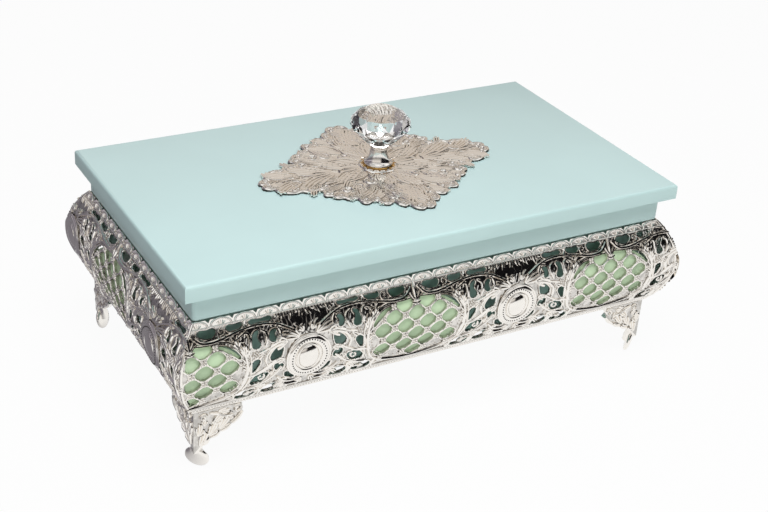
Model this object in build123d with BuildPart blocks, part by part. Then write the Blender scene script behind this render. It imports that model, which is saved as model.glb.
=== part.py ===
from build123d import *
from math import asin, cos, degrees, radians, sin, sqrt
import os

os.makedirs("parts", exist_ok=True)

# A lidded keepsake box: a lacquered fibreboard box and lid in a pierced, bombé
# cast-metal gallery on four corner feet, with a cut-crystal knob on a leaf plate.
# Millimetres. The origin is on the table under the middle of the box, X along the
# long front, Y towards the back, Z up.

# Lid
lid_length = 270.0
lid_width = 151.0
lid_thickness = 8.0
lid_corner_radius = 2.0
lid_top_edge_radius = 1.6
lid_bottom_edge_radius = 1.0
skirt_height = 13.6
skirt_corner_radius = 2.0
skirt_edge_radius = 0.9
rim_inset = 5.5  # from the lid's edge in to the skirt's face and the gallery's rim

# Wooden box inside the gallery
box_inset = 4.5  # from the rim line in to the box's walls
wall_thickness = 6.0
liner_thickness = 3.0
liner_rise = 6.0  # the liner stands this far above the walls and locates the lid
lid_play = 0.5  # between the liner and the skirt's inner face
base_thickness = 6.0

# Gallery: a shell bent to an arc, with a lip at its foot and a ledge near its rim
foot_height = 33.4
gallery_height = 47.8
gallery_bulge = 9.5
gallery_wall = 1.6
bottom_lip_depth = 9.0
bottom_lip_thickness = 1.6
top_ledge_drop = 1.9
top_ledge_thickness = 1.2
lid_gap = 0.4  # between the gallery's rim and the lid's skirt

# Pattern on the gallery. Heights are measured down the arc from the rim.
pattern_period = 115.0
long_side_phase = -19.0  # a cartouche's middle, from the middle of the front
short_side_phase = -15.0
cartouche_half_width = 26.3
lattice_half_pitch = 6.1
lattice_row_pitch = 5.4
lattice_first_row = 13.1
window_half_width = 4.1
window_half_height = 3.5
window_corner_x = 1.3
window_corner_y = 1.1
medallion_radius = 11.0
medallion_drop = 27.6
medallion_rise = 1.0
medallion_dome_radius = 5.4
medallion_dome_rise = 1.4
corner_margin = 2.2
scallop_pitch = 11.5
scallop_notch_radius = 1.5

# Green backing behind each cartouche
backing_half_width = 27.6
backing_top_drop = 9.8
backing_bottom_drop = 45.0
backing_thickness = 0.8
backing_corner_clearance = 3.0

# Feet
wing_length = 24.0
wing_thickness = 2.6
flange_thickness = 2.0
flange_side = 21.0
stem_width = 5.0
toe_radius = 6.7
toe_back = 1.4
toe_rim = 0.6
toe_dome = 1.6
toe_dome_taper = 55
toe_tilt = 12.0
toe_inset = 2.5  # from the rim corner in to the toe, along X and Y
toe_flat = 0.3
foot_screw_radius = 1.2
foot_screw_head_radius = 2.6
foot_screw_head_height = 1.5
foot_screw_bite = 4.5
foot_screw_hole_radius = 1.6
foot_screw_near = 12.5
foot_screw_far = 17.5
pad_clearance = 0.3

# Ornament plate and knob
plate_half_length = 65.8
plate_half_width = 51.4
plate_thickness = 2.2
rosette_radius = 9.4
rosette_root_radius = 7.4
rosette_points = 8
rosette_thickness = 0.8
stem_base_radius = 7.9
stem_base_height = 2.0
stem_neck_radius = 3.7
stem_neck_height = 7.2
stem_cup_radius = 5.2
stem_height = 10.0
spigot_radius = 3.0
spigot_height = 4.0
spigot_gap = 0.1
crystal_sides = 12
crystal_girdle_radius = 15.6
crystal_girdle_low = 10.2  # heights above the crystal's seat
crystal_girdle_high = 13.2
crystal_shoulder_radius = 13.0
crystal_shoulder_height = 17.0
crystal_table_radius = 9.2
crystal_height = 19.4
knob_screw_radius = 2.0
knob_screw_bite = 7.0
knob_screw_head_radius = 3.9
knob_screw_head_height = 2.4
knob_thread_depth = 8.0
knob_clear_radius = 2.3
washer_radius = 6.0
washer_thickness = 0.8

# Worked out from the sizes above
rim_length = lid_length - 2 * rim_inset
rim_width = lid_width - 2 * rim_inset
gallery_bottom = foot_height
gallery_top = gallery_bottom + gallery_height
gallery_middle = gallery_bottom + gallery_height / 2
arc_radius = (gallery_height**2 / 4 + gallery_bulge**2) / (2 * gallery_bulge)
arc_half_angle = asin(gallery_height / 2 / arc_radius)
arc_half_length = arc_radius * arc_half_angle
base_bottom = gallery_bottom + bottom_lip_thickness
base_top = base_bottom + base_thickness
wall_top = gallery_top + lid_gap
lid_bottom = wall_top + skirt_height
lid_top = lid_bottom + lid_thickness
liner_inset = box_inset + wall_thickness
skirt_thickness = liner_inset - lid_play
box_length = rim_length - 2 * box_inset
box_width = rim_width - 2 * box_inset
plate_top = lid_top + plate_thickness
rosette_top = plate_top + rosette_thickness
crystal_seat = rosette_top + stem_height


def height_at(drop):
    """Height above the table of a point that lies this far down the arc."""
    return gallery_middle + arc_radius * sin((arc_half_length - drop) / arc_radius)


def bulge_at(drop):
    """How far the gallery's face stands outside the rim line at that drop."""
    angle = (arc_half_length - drop) / arc_radius
    return arc_radius * (cos(angle) - cos(arc_half_angle))


class Side:
    """One side of the box, with the planes that its pieces are drawn on."""

    def __init__(self, outward, rim_distance, rim_span, phase):
        self.outward = Vector(*outward)
        self.along = Vector(0, 0, 1).cross(self.outward)
        self.distance = rim_distance
        self.half_span = rim_span / 2
        self.phase = phase

    def front(self, offset=0.0):
        """Faces outwards: X along the side, Y up, at an offset from the rim line."""
        origin = self.outward * (self.distance + offset)
        return Plane(origin, x_dir=self.along, z_dir=self.outward)

    def section(self):
        """Cuts across the side: X outwards from the rim line, Y up."""
        origin = self.outward * self.distance
        return Plane(origin, x_dir=self.outward, z_dir=self.outward.cross(Vector(0, 0, 1)))

    def plan(self, height=0.0):
        """Lies flat: X along the side, Y inwards from the rim line."""
        origin = self.outward * self.distance + Vector(0, 0, height)
        return Plane(origin, x_dir=self.along, z_dir=(0, 0, 1))

    def cartouches(self):
        """The places along the side where a cartouche has its middle."""
        reach = self.half_span + gallery_bulge
        places = [self.phase + step * pattern_period for step in range(-3, 4)]
        return [place for place in places if abs(place) < reach + cartouche_half_width / 2]

    def notches(self):
        """The places along the rim between two scallops."""
        places = [self.phase + step * scallop_pitch for step in range(-16, 17)]
        room = self.half_span - scallop_pitch / 4
        return [place for place in places if abs(place) < room]

    def medallions(self):
        """The places along the side where a whole medallion fits."""
        places = [self.phase + (step + 0.5) * pattern_period for step in range(-3, 4)]
        room = self.half_span - medallion_radius
        return [place for place in places if abs(place) < room]


sides = {
    "front": Side((0, -1, 0), rim_width / 2, rim_length, long_side_phase),
    "back": Side((0, 1, 0), rim_width / 2, rim_length, long_side_phase),
    "left": Side((-1, 0, 0), rim_length / 2, rim_width, short_side_phase),
    "right": Side((1, 0, 0), rim_length / 2, rim_width, short_side_phase),
}


def save(piece, name):
    """Labels a finished piece and writes it."""
    piece.part.label = name
    export_step(piece.part, f"parts/{name}.step")


def lattice_windows():
    """Windows of one cartouche, as outlines of (along, drop) about its middle."""
    octagon = [
        (window_half_width, window_corner_y),
        (window_corner_x, window_half_height),
        (-window_corner_x, window_half_height),
        (-window_half_width, window_corner_y),
        (-window_half_width, -window_corner_y),
        (-window_corner_x, -window_half_height),
        (window_corner_x, -window_half_height),
        (window_half_width, -window_corner_y),
    ]
    rows = [(-1, 1), (-2, 0, 2), (-3, -1, 1, 3), (-2, 0, 2), (-3, -1, 1, 3), (0,)]
    windows = []
    for row, columns in enumerate(rows):
        drop = lattice_first_row + row * lattice_row_pitch
        for column in columns:
            place = column * lattice_half_pitch
            windows.append([(place + x, drop + y) for x, y in octagon])
    shoulder = [(-23.9, 20.6), (-21.6, 16.4), (-17.6, 13.4), (-13.6, 12.4), (-16.8, 15.8), (-20.6, 18.8)]
    windows.append(shoulder)
    windows.append([(-x, drop) for x, drop in shoulder])
    return windows


def scroll_openings():
    """Openings among the scrolls at one side of a medallion, about its middle."""
    return [
        [(-27.9, 14.0), (-26.5, 9.9), (-23.6, 9.6), (-24.6, 12.7), (-23.2, 16.8), (-27.6, 17.6)],
        [(-19.1, 12.4), (-17.2, 10.3), (-15.0, 10.9), (-16.0, 13.2), (-15.4, 15.8), (-18.8, 16.0)],
        [(-19.5, 24.9), (-17.6, 19.9), (-13.2, 18.9), (-12.6, 21.6), (-14.2, 24.9)],
        [(-17.6, 27.4), (-12.9, 27.9), (-12.7, 31.0), (-15.9, 31.8)],
        [(-29.2, 33.9), (-20.6, 30.7), (-19.9, 33.2), (-28.2, 37.2)],
        [(-29.6, 27.0), (-27.4, 22.8), (-24.2, 23.4), (-25.2, 27.2), (-28.4, 29.8)],
        [(-12.3, 33.9), (-10.9, 33.0), (-5.8, 38.4), (-8.8, 38.6)],
        [(-34.9, 46.6), (-33.7, 40.6), (-25.6, 40.2), (-25.2, 46.6)],
        [(-21.6, 46.4), (-20.9, 39.9), (-13.6, 39.9), (-13.9, 46.4)],
        [(-27.9, 4.3), (-16.4, 4.3), (-16.4, 6.2), (-27.9, 6.2)],
    ]


def swag_openings():
    """Slots under the rim at one side of a cartouche, about its middle."""
    return [
        [(4.9, 4.2), (13.8, 4.2), (12.8, 8.2), (5.9, 8.8)],
        [(18.6, 4.2), (26.9, 4.2), (25.6, 6.6), (19.4, 7.2)],
    ]


def both_ways(outlines):
    """The outlines and their mirror images."""
    return outlines + [[(-x, drop) for x, drop in outline] for outline in outlines]


def openings_of(side):
    """Every opening of a side that leaves enough metal at the mitred corners."""
    placed = []
    for place in side.cartouches():
        for outline in lattice_windows() + both_ways(swag_openings()):
            placed.append([(place + x, drop) for x, drop in outline])
    for step in range(-3, 3):
        place = side.phase + (step + 0.5) * pattern_period
        for outline in both_ways(scroll_openings()):
            placed.append([(place + x, drop) for x, drop in outline])
    return [
        outline
        for outline in placed
        if all(abs(x) < side.half_span + bulge_at(drop) - corner_margin for x, drop in outline)
    ]


def gallery_section(side):
    """The gallery's cross-section: an arc-shaped shell, a bottom lip and a ledge."""
    inner_radius = arc_radius - gallery_wall
    centre = gallery_bulge - arc_radius
    with BuildSketch(side.section()) as section:
        with BuildLine():
            outer = ThreePointArc(
                (0, gallery_bottom), (gallery_bulge, gallery_middle), (0, gallery_top)
            )
            reach = sqrt(inner_radius**2 - gallery_height**2 / 4) + centre
            Line(outer @ 1, (reach, gallery_top))
            ThreePointArc(
                (reach, gallery_top),
                (gallery_bulge - gallery_wall, gallery_middle),
                (reach, gallery_bottom),
            )
            Line((reach, gallery_bottom), outer @ 0)
        make_face()
        with Locations((-bottom_lip_depth, gallery_bottom)):
            lip_length = bottom_lip_depth - gallery_wall / 2
            Rectangle(lip_length, bottom_lip_thickness, align=(Align.MIN, Align.MIN))
        with Locations((-box_inset, gallery_top - top_ledge_drop)):
            ledge_length = box_inset + gallery_wall / 2
            Rectangle(ledge_length, top_ledge_thickness, align=(Align.MIN, Align.MAX))
    return section.sketch


def between_mitres(side, outer_inset, inner_inset, height):
    """Plan of a piece along a side, mitred at both ends, at a height."""
    with BuildSketch(side.plan(height)) as plan:
        with BuildLine():
            Polyline(
                (-side.half_span + outer_inset, outer_inset),
                (side.half_span - outer_inset, outer_inset),
                (side.half_span - inner_inset, inner_inset),
                (-side.half_span + inner_inset, inner_inset),
                close=True,
            )
        make_face()
    return plan.sketch


def gallery(side, name):
    """One pierced side of the gallery, with its medallions and notched rim."""
    reach = gallery_bulge + medallion_rise + medallion_dome_rise + 1
    with BuildPart() as panel:
        extrude(gallery_section(side), amount=side.half_span + reach, both=True)
        with BuildSketch(side.front(-gallery_wall)):
            for outline in openings_of(side):
                with BuildLine():
                    Polyline(*[(x, height_at(drop)) for x, drop in outline], close=True)
                make_face()
        extrude(amount=reach + gallery_wall, mode=Mode.SUBTRACT)
        with BuildSketch(side.front(-2 * gallery_wall)):
            with Locations(*[(x, gallery_top) for x in side.notches()]):
                RegularPolygon(scallop_notch_radius, 6)
        extrude(amount=reach, mode=Mode.SUBTRACT)
        for place in side.medallions():
            middle = (place, height_at(medallion_drop))
            with BuildSketch(side.front(gallery_bulge - 2 * gallery_wall)):
                with Locations(middle):
                    Circle(medallion_radius)
            extrude(amount=2 * gallery_wall + medallion_rise, taper=12)
            with BuildSketch(side.front(gallery_bulge + medallion_rise)):
                with Locations(middle):
                    Circle(medallion_dome_radius)
            extrude(amount=medallion_dome_rise, taper=45)
        plan = between_mitres(side, -reach, bottom_lip_depth + 1, 0)
        extrude(plan, amount=gallery_top + 1, mode=Mode.INTERSECT)
    save(panel, name)


def backing(side, place, name):
    """A thin sheet bent to lie just behind one cartouche."""
    limit = side.half_span + backing_corner_clearance
    start = max(place - backing_half_width, -limit)
    end = min(place + backing_half_width, limit)
    outer_radius = arc_radius - gallery_wall
    inner_radius = outer_radius - backing_thickness
    centre = gallery_bulge - arc_radius
    top = (arc_half_length - backing_top_drop) / arc_radius
    bottom = (arc_half_length - backing_bottom_drop) / arc_radius
    middle = (top + bottom) / 2

    def point(radius, angle):
        return (centre + radius * cos(angle), gallery_middle + radius * sin(angle))

    section = side.section()
    with BuildPart() as sheet:
        with BuildSketch(section.offset(-end)):
            with BuildLine():
                ThreePointArc(*[point(outer_radius, angle) for angle in (top, middle, bottom)])
                Line(point(outer_radius, bottom), point(inner_radius, bottom))
                ThreePointArc(*[point(inner_radius, angle) for angle in (bottom, middle, top)])
                Line(point(inner_radius, top), point(outer_radius, top))
            make_face()
        extrude(amount=end - start)
    save(sheet, name)


def upright_board(side, outer_inset, thickness, top, name):
    """A board that stands on the base board along a side."""
    with BuildPart() as board:
        plan = between_mitres(side, outer_inset, outer_inset + thickness, base_top)
        extrude(plan, amount=top - base_top)
    save(board, name)


def skirt_rail(side, name):
    """One rail of the lid's skirt, its lower outer edge eased."""
    with BuildPart() as rail:
        with BuildSketch(Plane.XY.offset(wall_top)):
            RectangleRounded(rim_length, rim_width, skirt_corner_radius)
        extrude(amount=skirt_height)
        fillet(rail.faces().sort_by(Axis.Z)[0].edges(), skirt_edge_radius)
        plan = between_mitres(side, 0, skirt_thickness, wall_top)
        extrude(plan, amount=skirt_height, mode=Mode.INTERSECT)
    save(rail, name)


# Base board, with pilot holes for the foot screws
screw_places = [
    (sx * (rim_length / 2 - dx), sy * (rim_width / 2 - dy))
    for sx in (-1, 1)
    for sy in (-1, 1)
    for dx, dy in ((foot_screw_near, foot_screw_far), (foot_screw_far, foot_screw_near))
]
with BuildPart() as base_board:
    with BuildSketch(Plane.XY.offset(base_bottom)):
        Rectangle(box_length, box_width)
    extrude(amount=base_thickness)
    with BuildSketch(Plane.XY.offset(base_bottom)):
        with Locations(*screw_places):
            Circle(foot_screw_radius)
    extrude(amount=foot_screw_bite, mode=Mode.SUBTRACT)
save(base_board, "base_board")

# Walls, liner, gallery, backings and the lid's skirt, side by side
for side_name, side in sides.items():
    upright_board(side, box_inset, wall_thickness, wall_top, f"wall_{side_name}")
    liner_top = wall_top + liner_rise
    upright_board(side, liner_inset, liner_thickness, liner_top, f"liner_{side_name}")
    gallery(side, f"gallery_{side_name}")
    for number, place in enumerate(side.cartouches(), start=1):
        backing(side, place, f"backing_{side_name}_{number}")
    skirt_rail(side, f"lid_rail_{side_name}")


# Feet: a cast bracket under each corner that ends in a round toe
wing_contour = [
    (wing_length, 30.4),
    (25.0, 27.0),
    (19.0, 21.6),
    (13.5, 18.8),
    (8.4, 16.4),
    (4.6, 14.3),
]
wing_lobe_bulge = 1.1
stem_outline = [(0.4, 24.0), (0.2, 14.0), (2.6, 8.0), (5.4, 5.5), (5.6, 14.0), (8.0, 24.0)]


def bulging_arc(start, end, bulge):
    """An arc between two points that bulges to the right of the way from start to end."""
    chord = Vector(*end) - Vector(*start)
    middle = (Vector(*start) + Vector(*end)) / 2
    across = Vector(chord.Y, -chord.X).normalized() * bulge
    ThreePointArc(start, middle + across, end)


def wing(plane, thickness):
    """One wing of a foot, drawn with X away from the corner and Y up."""
    with BuildSketch(plane) as outline:
        with BuildLine():
            Polyline((0, 10.5), (0, gallery_bottom), (wing_length, gallery_bottom), wing_contour[0])
            for start, end in zip(wing_contour, wing_contour[1:]):
                bulging_arc(start, end, -wing_lobe_bulge)
            Polyline(wing_contour[-1], (wing_contour[-1][0] - 1.4, 10.5), (0, 10.5))
        make_face()
    extrude(outline.sketch, amount=thickness)


def foot(name, across_x, across_y):
    """A foot for the front left corner, mirrored to the corner it belongs to."""
    corner = Vector(-rim_length / 2, -rim_width / 2, 0)
    diagonal = Vector(1, 1, 0).normalized()
    toe_height = toe_radius * cos(radians(toe_tilt)) - toe_flat
    tilt = radians(toe_tilt)
    toe_axis = -diagonal * cos(tilt) - Vector(0, 0, sin(tilt))
    toe_middle = corner + Vector(toe_inset, toe_inset, toe_height)
    with BuildPart() as piece:
        wing(Plane(corner, x_dir=(1, 0, 0), z_dir=(0, -1, 0)), -wing_thickness)
        wing(Plane(corner, x_dir=(0, 1, 0), z_dir=(1, 0, 0)), wing_thickness)
        with BuildSketch(Plane.XY.offset(gallery_bottom - flange_thickness)):
            with Locations((corner.X, corner.Y)):
                Rectangle(flange_side, flange_side, align=(Align.MIN, Align.MIN))
        extrude(amount=flange_thickness)
        pad_inset = bottom_lip_depth + pad_clearance
        with BuildSketch(Plane.XY.offset(gallery_bottom)):
            with Locations((corner.X + pad_inset, corner.Y + pad_inset)):
                pad_side = flange_side - pad_inset
                Rectangle(pad_side, pad_side, align=(Align.MIN, Align.MIN))
        extrude(amount=bottom_lip_thickness)
        with BuildSketch(Plane(corner, x_dir=diagonal, z_dir=diagonal.cross(Vector(0, 0, 1)))):
            with BuildLine():
                Polyline(*stem_outline, close=True)
            make_face()
        extrude(amount=stem_width / 2, both=True)
        with BuildSketch(Plane(toe_middle - toe_axis * toe_back, z_dir=toe_axis)):
            Circle(toe_radius)
        extrude(amount=toe_back + toe_rim)
        with BuildSketch(Plane(toe_middle + toe_axis * toe_rim, z_dir=toe_axis)):
            Circle(toe_radius)
        extrude(amount=toe_dome, taper=toe_dome_taper)
        split(bisect_by=Plane.XY, keep=Keep.TOP)
        with BuildSketch(Plane.XY.offset(gallery_bottom + bottom_lip_thickness)):
            near, far = foot_screw_near, foot_screw_far
            with Locations((corner.X + near, corner.Y + far), (corner.X + far, corner.Y + near)):
                Circle(foot_screw_hole_radius)
        extrude(amount=-flange_thickness - bottom_lip_thickness, mode=Mode.SUBTRACT)
        if across_x:
            mirror(about=Plane.YZ, mode=Mode.REPLACE)
        if across_y:
            mirror(about=Plane.XZ, mode=Mode.REPLACE)
    save(piece, name)


foot("foot_front_left", False, False)
foot("foot_front_right", True, False)
foot("foot_back_left", False, True)
foot("foot_back_right", True, True)

# Wood screws that hold the feet under the base board
with BuildPart() as foot_screws:
    head_top = gallery_bottom - flange_thickness
    with BuildSketch(Plane.XY.offset(head_top)):
        with Locations(*screw_places):
            Circle(foot_screw_head_radius)
    extrude(amount=-foot_screw_head_height)
    with BuildSketch(Plane.XY.offset(head_top)):
        with Locations(*screw_places):
            Circle(foot_screw_radius)
    extrude(amount=base_bottom + foot_screw_bite - head_top)
save(foot_screws, "foot_screws")

# Lid board, with a hole for the knob's screw
with BuildPart() as lid_board:
    with BuildSketch(Plane.XY.offset(lid_bottom)):
        RectangleRounded(lid_length, lid_width, lid_corner_radius)
    extrude(amount=lid_thickness)
    fillet(lid_board.faces().sort_by(Axis.Z)[-1].edges(), lid_top_edge_radius)
    fillet(lid_board.faces().sort_by(Axis.Z)[0].edges(), lid_bottom_edge_radius)
    with BuildSketch(Plane.XY.offset(lid_bottom)):
        Circle(knob_clear_radius)
    extrude(amount=lid_thickness, mode=Mode.SUBTRACT)
save(lid_board, "lid_board")


# Ornament plate: a rhombus with leaf lobes along its edges. The contour runs from
# the long tip to the short one, as shares of the two half sizes.
plate_contour = [
    (0.955, 0.0), (0.985, 0.012), (1.0, 0.047), (0.965, 0.097), (0.922, 0.108), (0.92, 0.15),
    (0.878, 0.22), (0.806, 0.253), (0.752, 0.245), (0.711, 0.285), (0.602, 0.285), (0.605, 0.362),
    (0.623, 0.407), (0.577, 0.44), (0.556, 0.502), (0.51, 0.514), (0.48, 0.568), (0.425, 0.562),
    (0.41, 0.615), (0.404, 0.695), (0.358, 0.695), (0.31, 0.668), (0.286, 0.73), (0.258, 0.786),
    (0.212, 0.782), (0.18, 0.745), (0.17, 0.813), (0.143, 0.883), (0.1, 0.868), (0.088, 0.942),
    (0.043, 1.0), (0.0, 0.98),
]
quarter = [(plate_half_length * u, plate_half_width * v) for u, v in plate_contour]
half = quarter + [(-x, y) for x, y in reversed(quarter[:-1])]
contour = half + [(x, -y) for x, y in reversed(half[1:-1])]
with BuildPart() as lid_ornament:
    with BuildSketch(Plane.XY.offset(lid_top)):
        with BuildLine():
            Polyline(*contour, close=True)
        make_face()
        Circle(knob_clear_radius, mode=Mode.SUBTRACT)
    extrude(amount=plate_thickness)
save(lid_ornament, "lid_ornament")

# Pointed brass ring under the knob's stem
with BuildPart() as knob_rosette:
    with BuildSketch(Plane.XY.offset(plate_top)):
        RegularPolygon(rosette_radius, rosette_points)
        RegularPolygon(rosette_radius, rosette_points, rotation=180 / rosette_points)
        Circle(knob_clear_radius, mode=Mode.SUBTRACT)
    extrude(amount=rosette_thickness)
save(knob_rosette, "knob_rosette")

# Turned stem with a spigot for the crystal and a threaded hole from below
with BuildPart() as knob_stem:
    with BuildSketch(Plane.XZ):
        with BuildLine():
            base_top_height = rosette_top + stem_base_height
            neck_height = rosette_top + stem_neck_height
            Polyline(
                (0, rosette_top),
                (stem_base_radius, rosette_top),
                (stem_base_radius, rosette_top + stem_base_height / 2),
                (stem_base_radius - 1.2, base_top_height),
            )
            ThreePointArc(
                (stem_base_radius - 1.2, base_top_height),
                (stem_neck_radius + 0.8, (base_top_height + neck_height) / 2 - 0.6),
                (stem_neck_radius, neck_height),
            )
            Polyline(
                (stem_neck_radius, neck_height),
                (stem_cup_radius, crystal_seat),
                (spigot_radius, crystal_seat),
                (spigot_radius, crystal_seat + spigot_height),
                (0, crystal_seat + spigot_height),
                (0, rosette_top),
            )
        make_face()
    revolve(axis=Axis.Z)
    with BuildSketch(Plane.XY.offset(rosette_top)):
        Circle(knob_screw_radius)
    extrude(amount=knob_thread_depth, mode=Mode.SUBTRACT)
save(knob_stem, "knob_stem")

# Crystal cut in rings of flat facets
crystal_rings = [
    (0, stem_cup_radius),
    (crystal_girdle_low, crystal_girdle_radius),
    (crystal_girdle_high, crystal_girdle_radius),
    (crystal_shoulder_height, crystal_shoulder_radius),
    (crystal_height, crystal_table_radius),
]
with BuildPart() as knob_crystal:
    for height, radius in crystal_rings:
        with BuildSketch(Plane.XY.offset(crystal_seat + height)):
            RegularPolygon(radius, crystal_sides)
    loft(ruled=True)
    with BuildSketch(Plane.XY.offset(crystal_seat)):
        Circle(spigot_radius + spigot_gap)
    extrude(amount=spigot_height + spigot_gap, mode=Mode.SUBTRACT)
save(knob_crystal, "knob_crystal")

# Washer and screw under the lid
with BuildPart() as knob_washer:
    with BuildSketch(Plane.XY.offset(lid_bottom)):
        Circle(washer_radius)
        Circle(knob_clear_radius, mode=Mode.SUBTRACT)
    extrude(amount=-washer_thickness)
save(knob_washer, "knob_washer")

with BuildPart() as knob_screw:
    head_top = lid_bottom - washer_thickness
    with BuildSketch(Plane.XY.offset(head_top)):
        Circle(knob_screw_head_radius)
    extrude(amount=-knob_screw_head_height)
    with BuildSketch(Plane.XY.offset(head_top)):
        Circle(knob_screw_radius)
    extrude(amount=rosette_top + knob_screw_bite - head_top)
save(knob_screw, "knob_screw")
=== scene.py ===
from collections import namedtuple
from math import asin, cos, hypot, pi, radians, sin, sqrt
import bmesh
import bpy
import numpy as np
from mathutils import Matrix, Vector


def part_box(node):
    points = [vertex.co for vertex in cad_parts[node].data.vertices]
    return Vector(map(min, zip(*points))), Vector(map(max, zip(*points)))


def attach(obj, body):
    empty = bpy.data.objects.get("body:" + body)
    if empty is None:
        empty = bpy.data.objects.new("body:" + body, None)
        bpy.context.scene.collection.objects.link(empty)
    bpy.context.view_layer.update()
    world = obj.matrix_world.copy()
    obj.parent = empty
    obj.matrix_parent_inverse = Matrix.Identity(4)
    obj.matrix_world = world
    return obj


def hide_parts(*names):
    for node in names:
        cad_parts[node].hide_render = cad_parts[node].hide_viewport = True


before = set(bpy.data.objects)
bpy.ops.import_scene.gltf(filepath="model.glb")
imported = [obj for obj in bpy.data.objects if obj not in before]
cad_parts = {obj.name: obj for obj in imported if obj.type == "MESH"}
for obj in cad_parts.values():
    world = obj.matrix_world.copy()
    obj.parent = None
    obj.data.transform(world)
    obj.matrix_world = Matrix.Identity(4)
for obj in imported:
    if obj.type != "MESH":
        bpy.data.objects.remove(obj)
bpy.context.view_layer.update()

bl_info = {
    "name": "Keepsake Box with Pierced Gallery",
    "version": (1, 0, 0),
    "blender": (4, 5, 0),
    "location": "View3D > Sidebar > Keepsake Box",
    "description": "Dresses the solids of a lidded box in a pierced silvered gallery",
    "category": "Object",
}

# Lengths are in millimetres and become metres when a mesh is finished.
MM = 0.001
LID_LENGTH, LID_WIDTH = 270.0, 151.0
RIM_LENGTH, RIM_WIDTH = 259.0, 140.0
GALLERY_BOTTOM, GALLERY_HEIGHT, GALLERY_BULGE = 33.4, 47.8, 9.5
GALLERY_TOP = GALLERY_BOTTOM + GALLERY_HEIGHT
GALLERY_MIDDLE = GALLERY_BOTTOM + GALLERY_HEIGHT / 2
ARC_RADIUS = (GALLERY_HEIGHT**2 / 4 + GALLERY_BULGE**2) / (2 * GALLERY_BULGE)
ARC_HALF_ANGLE = asin(GALLERY_HEIGHT / 2 / ARC_RADIUS)
ARC_HALF = ARC_RADIUS * ARC_HALF_ANGLE
ARC_LENGTH = 2 * ARC_HALF
SHEET_THICKNESS, BACKING_THICKNESS, WING_THICKNESS, PLATE_THICKNESS = 1.5, 0.5, 2.4, 1.1
BACKING_GAP = 0.05
# The plain bright band at the gallery's rim, and the spacing of the cuts that let a sheet bend
PLAIN_BAND, BEND_STEP = 4.2, 1.6
LID_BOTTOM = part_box("lid_board")[0][2] / MM
LID_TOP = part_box("lid_board")[1][2] / MM
PLATE_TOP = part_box("lid_ornament")[1][2] / MM
CRYSTAL_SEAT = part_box("knob_crystal")[0][2] / MM

# The pattern repeats once a period, from one cartouche's middle to the next.
PERIOD = 115.0
LATTICE_X, LATTICE_Y, LATTICE_TOP = 6.1, 5.4, 13.1
SCALLOP = 11.5
MEDALLION_DROP = 27.6

# A side's way out, its way along, its distance and half length at the rim, and where a cartouche is
Side = namedtuple("Side", "out along distance half_span phase")
SIDES = {
    name: Side(Vector((x, y, 0)), Vector((-y, x, 0)), distance, half_span, phase)
    for name, x, y, distance, half_span, phase in (
        ("front", 0, -1, RIM_WIDTH / 2, RIM_LENGTH / 2, -19.0),
        ("back", 0, 1, RIM_WIDTH / 2, RIM_LENGTH / 2, -19.0),
        ("left", -1, 0, RIM_LENGTH / 2, RIM_WIDTH / 2, -15.0),
        ("right", 1, 0, RIM_LENGTH / 2, RIM_WIDTH / 2, -15.0),
    )
}

# Each corner's way from the middle, in x and y
CORNERS = {"front_left": (-1, -1), "back_left": (-1, 1), "front_right": (1, -1), "back_right": (1, 1)}


# Making, selecting, joining and copying


def only(*objects):
    """Selects these objects and nothing else."""
    bpy.ops.object.select_all(action="DESELECT")
    for item in objects:
        item.select_set(True)
    bpy.context.view_layer.objects.active = objects[0]


def new_object(name, data):
    """Puts a mesh or curve into the scene, selected."""
    piece = bpy.data.objects.new(name, data)
    bpy.context.scene.collection.objects.link(piece)
    only(piece)
    return piece


def discard(*objects):
    """Takes objects out of the scene."""
    for item in objects:
        bpy.data.objects.remove(item)


def joined(objects, name="parts"):
    """Joins pieces into one mesh of that name."""
    only(*objects)
    bpy.ops.object.join()
    piece = bpy.context.object
    piece.name = piece.data.name = name
    return piece


def edit(piece, *steps):
    """Runs mesh operators, given as a name and settings, on the whole of a piece."""
    only(piece)
    bpy.ops.object.mode_set(mode="EDIT")
    for operator, settings in steps:
        bpy.ops.mesh.select_all(action="SELECT")
        getattr(bpy.ops.mesh, operator)(**settings)
    bpy.ops.object.mode_set(mode="OBJECT")


def thicken(piece, thickness):
    """Gives a sheet its thickness, inwards from its face."""
    only(piece)
    bpy.ops.object.modifier_add(type="SOLIDIFY")
    modifier = piece.modifiers[-1]
    modifier.thickness = thickness
    modifier.offset = -1.0
    bpy.ops.object.modifier_apply(modifier=modifier.name)


def soften(piece, angle):
    """Shades smooth, with edges kept above that angle."""
    only(piece)
    bpy.ops.object.shade_smooth_by_angle(angle=radians(angle))


def lift(piece, height):
    """Raises the mesh of a piece."""
    piece.data.transform(Matrix.Translation((0, 0, height)))


def seat(piece, height):
    """Turns a piece modelled in millimetres to metres, its foot at that height."""
    piece.data.transform(Matrix.Scale(MM, 4) @ Matrix.Translation((0, 0, height)))


def copies(source, places, name="copies", keep=False):
    """One mesh with a copy of the source at each (x, y) or (x, y, turn in degrees, size)."""
    built = bmesh.new()
    for x, y, *more in places:
        turn, size = more or (0, 1)
        before = len(built.verts)
        built.from_mesh(source.data)
        built.verts.ensure_lookup_table()
        sized = Matrix.Rotation(radians(turn), 4, "Z") @ Matrix.Scale(size, 4)
        shift = Matrix.Translation((x, y, 0)) @ sized
        bmesh.ops.transform(built, matrix=shift, verts=built.verts[before:])
    mesh = bpy.data.meshes.new(name)
    built.to_mesh(mesh)
    built.free()
    if not keep:
        discard(source)
    return new_object(name, mesh)


def mirrored(piece, axis):
    """A copy of a piece mirrored along that axis."""
    copy = new_object(piece.name, piece.data.copy())
    copy.data.transform(Matrix.Scale(-1, 4, axis))
    copy.data.flip_normals()
    return copy


# Shapes


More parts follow.
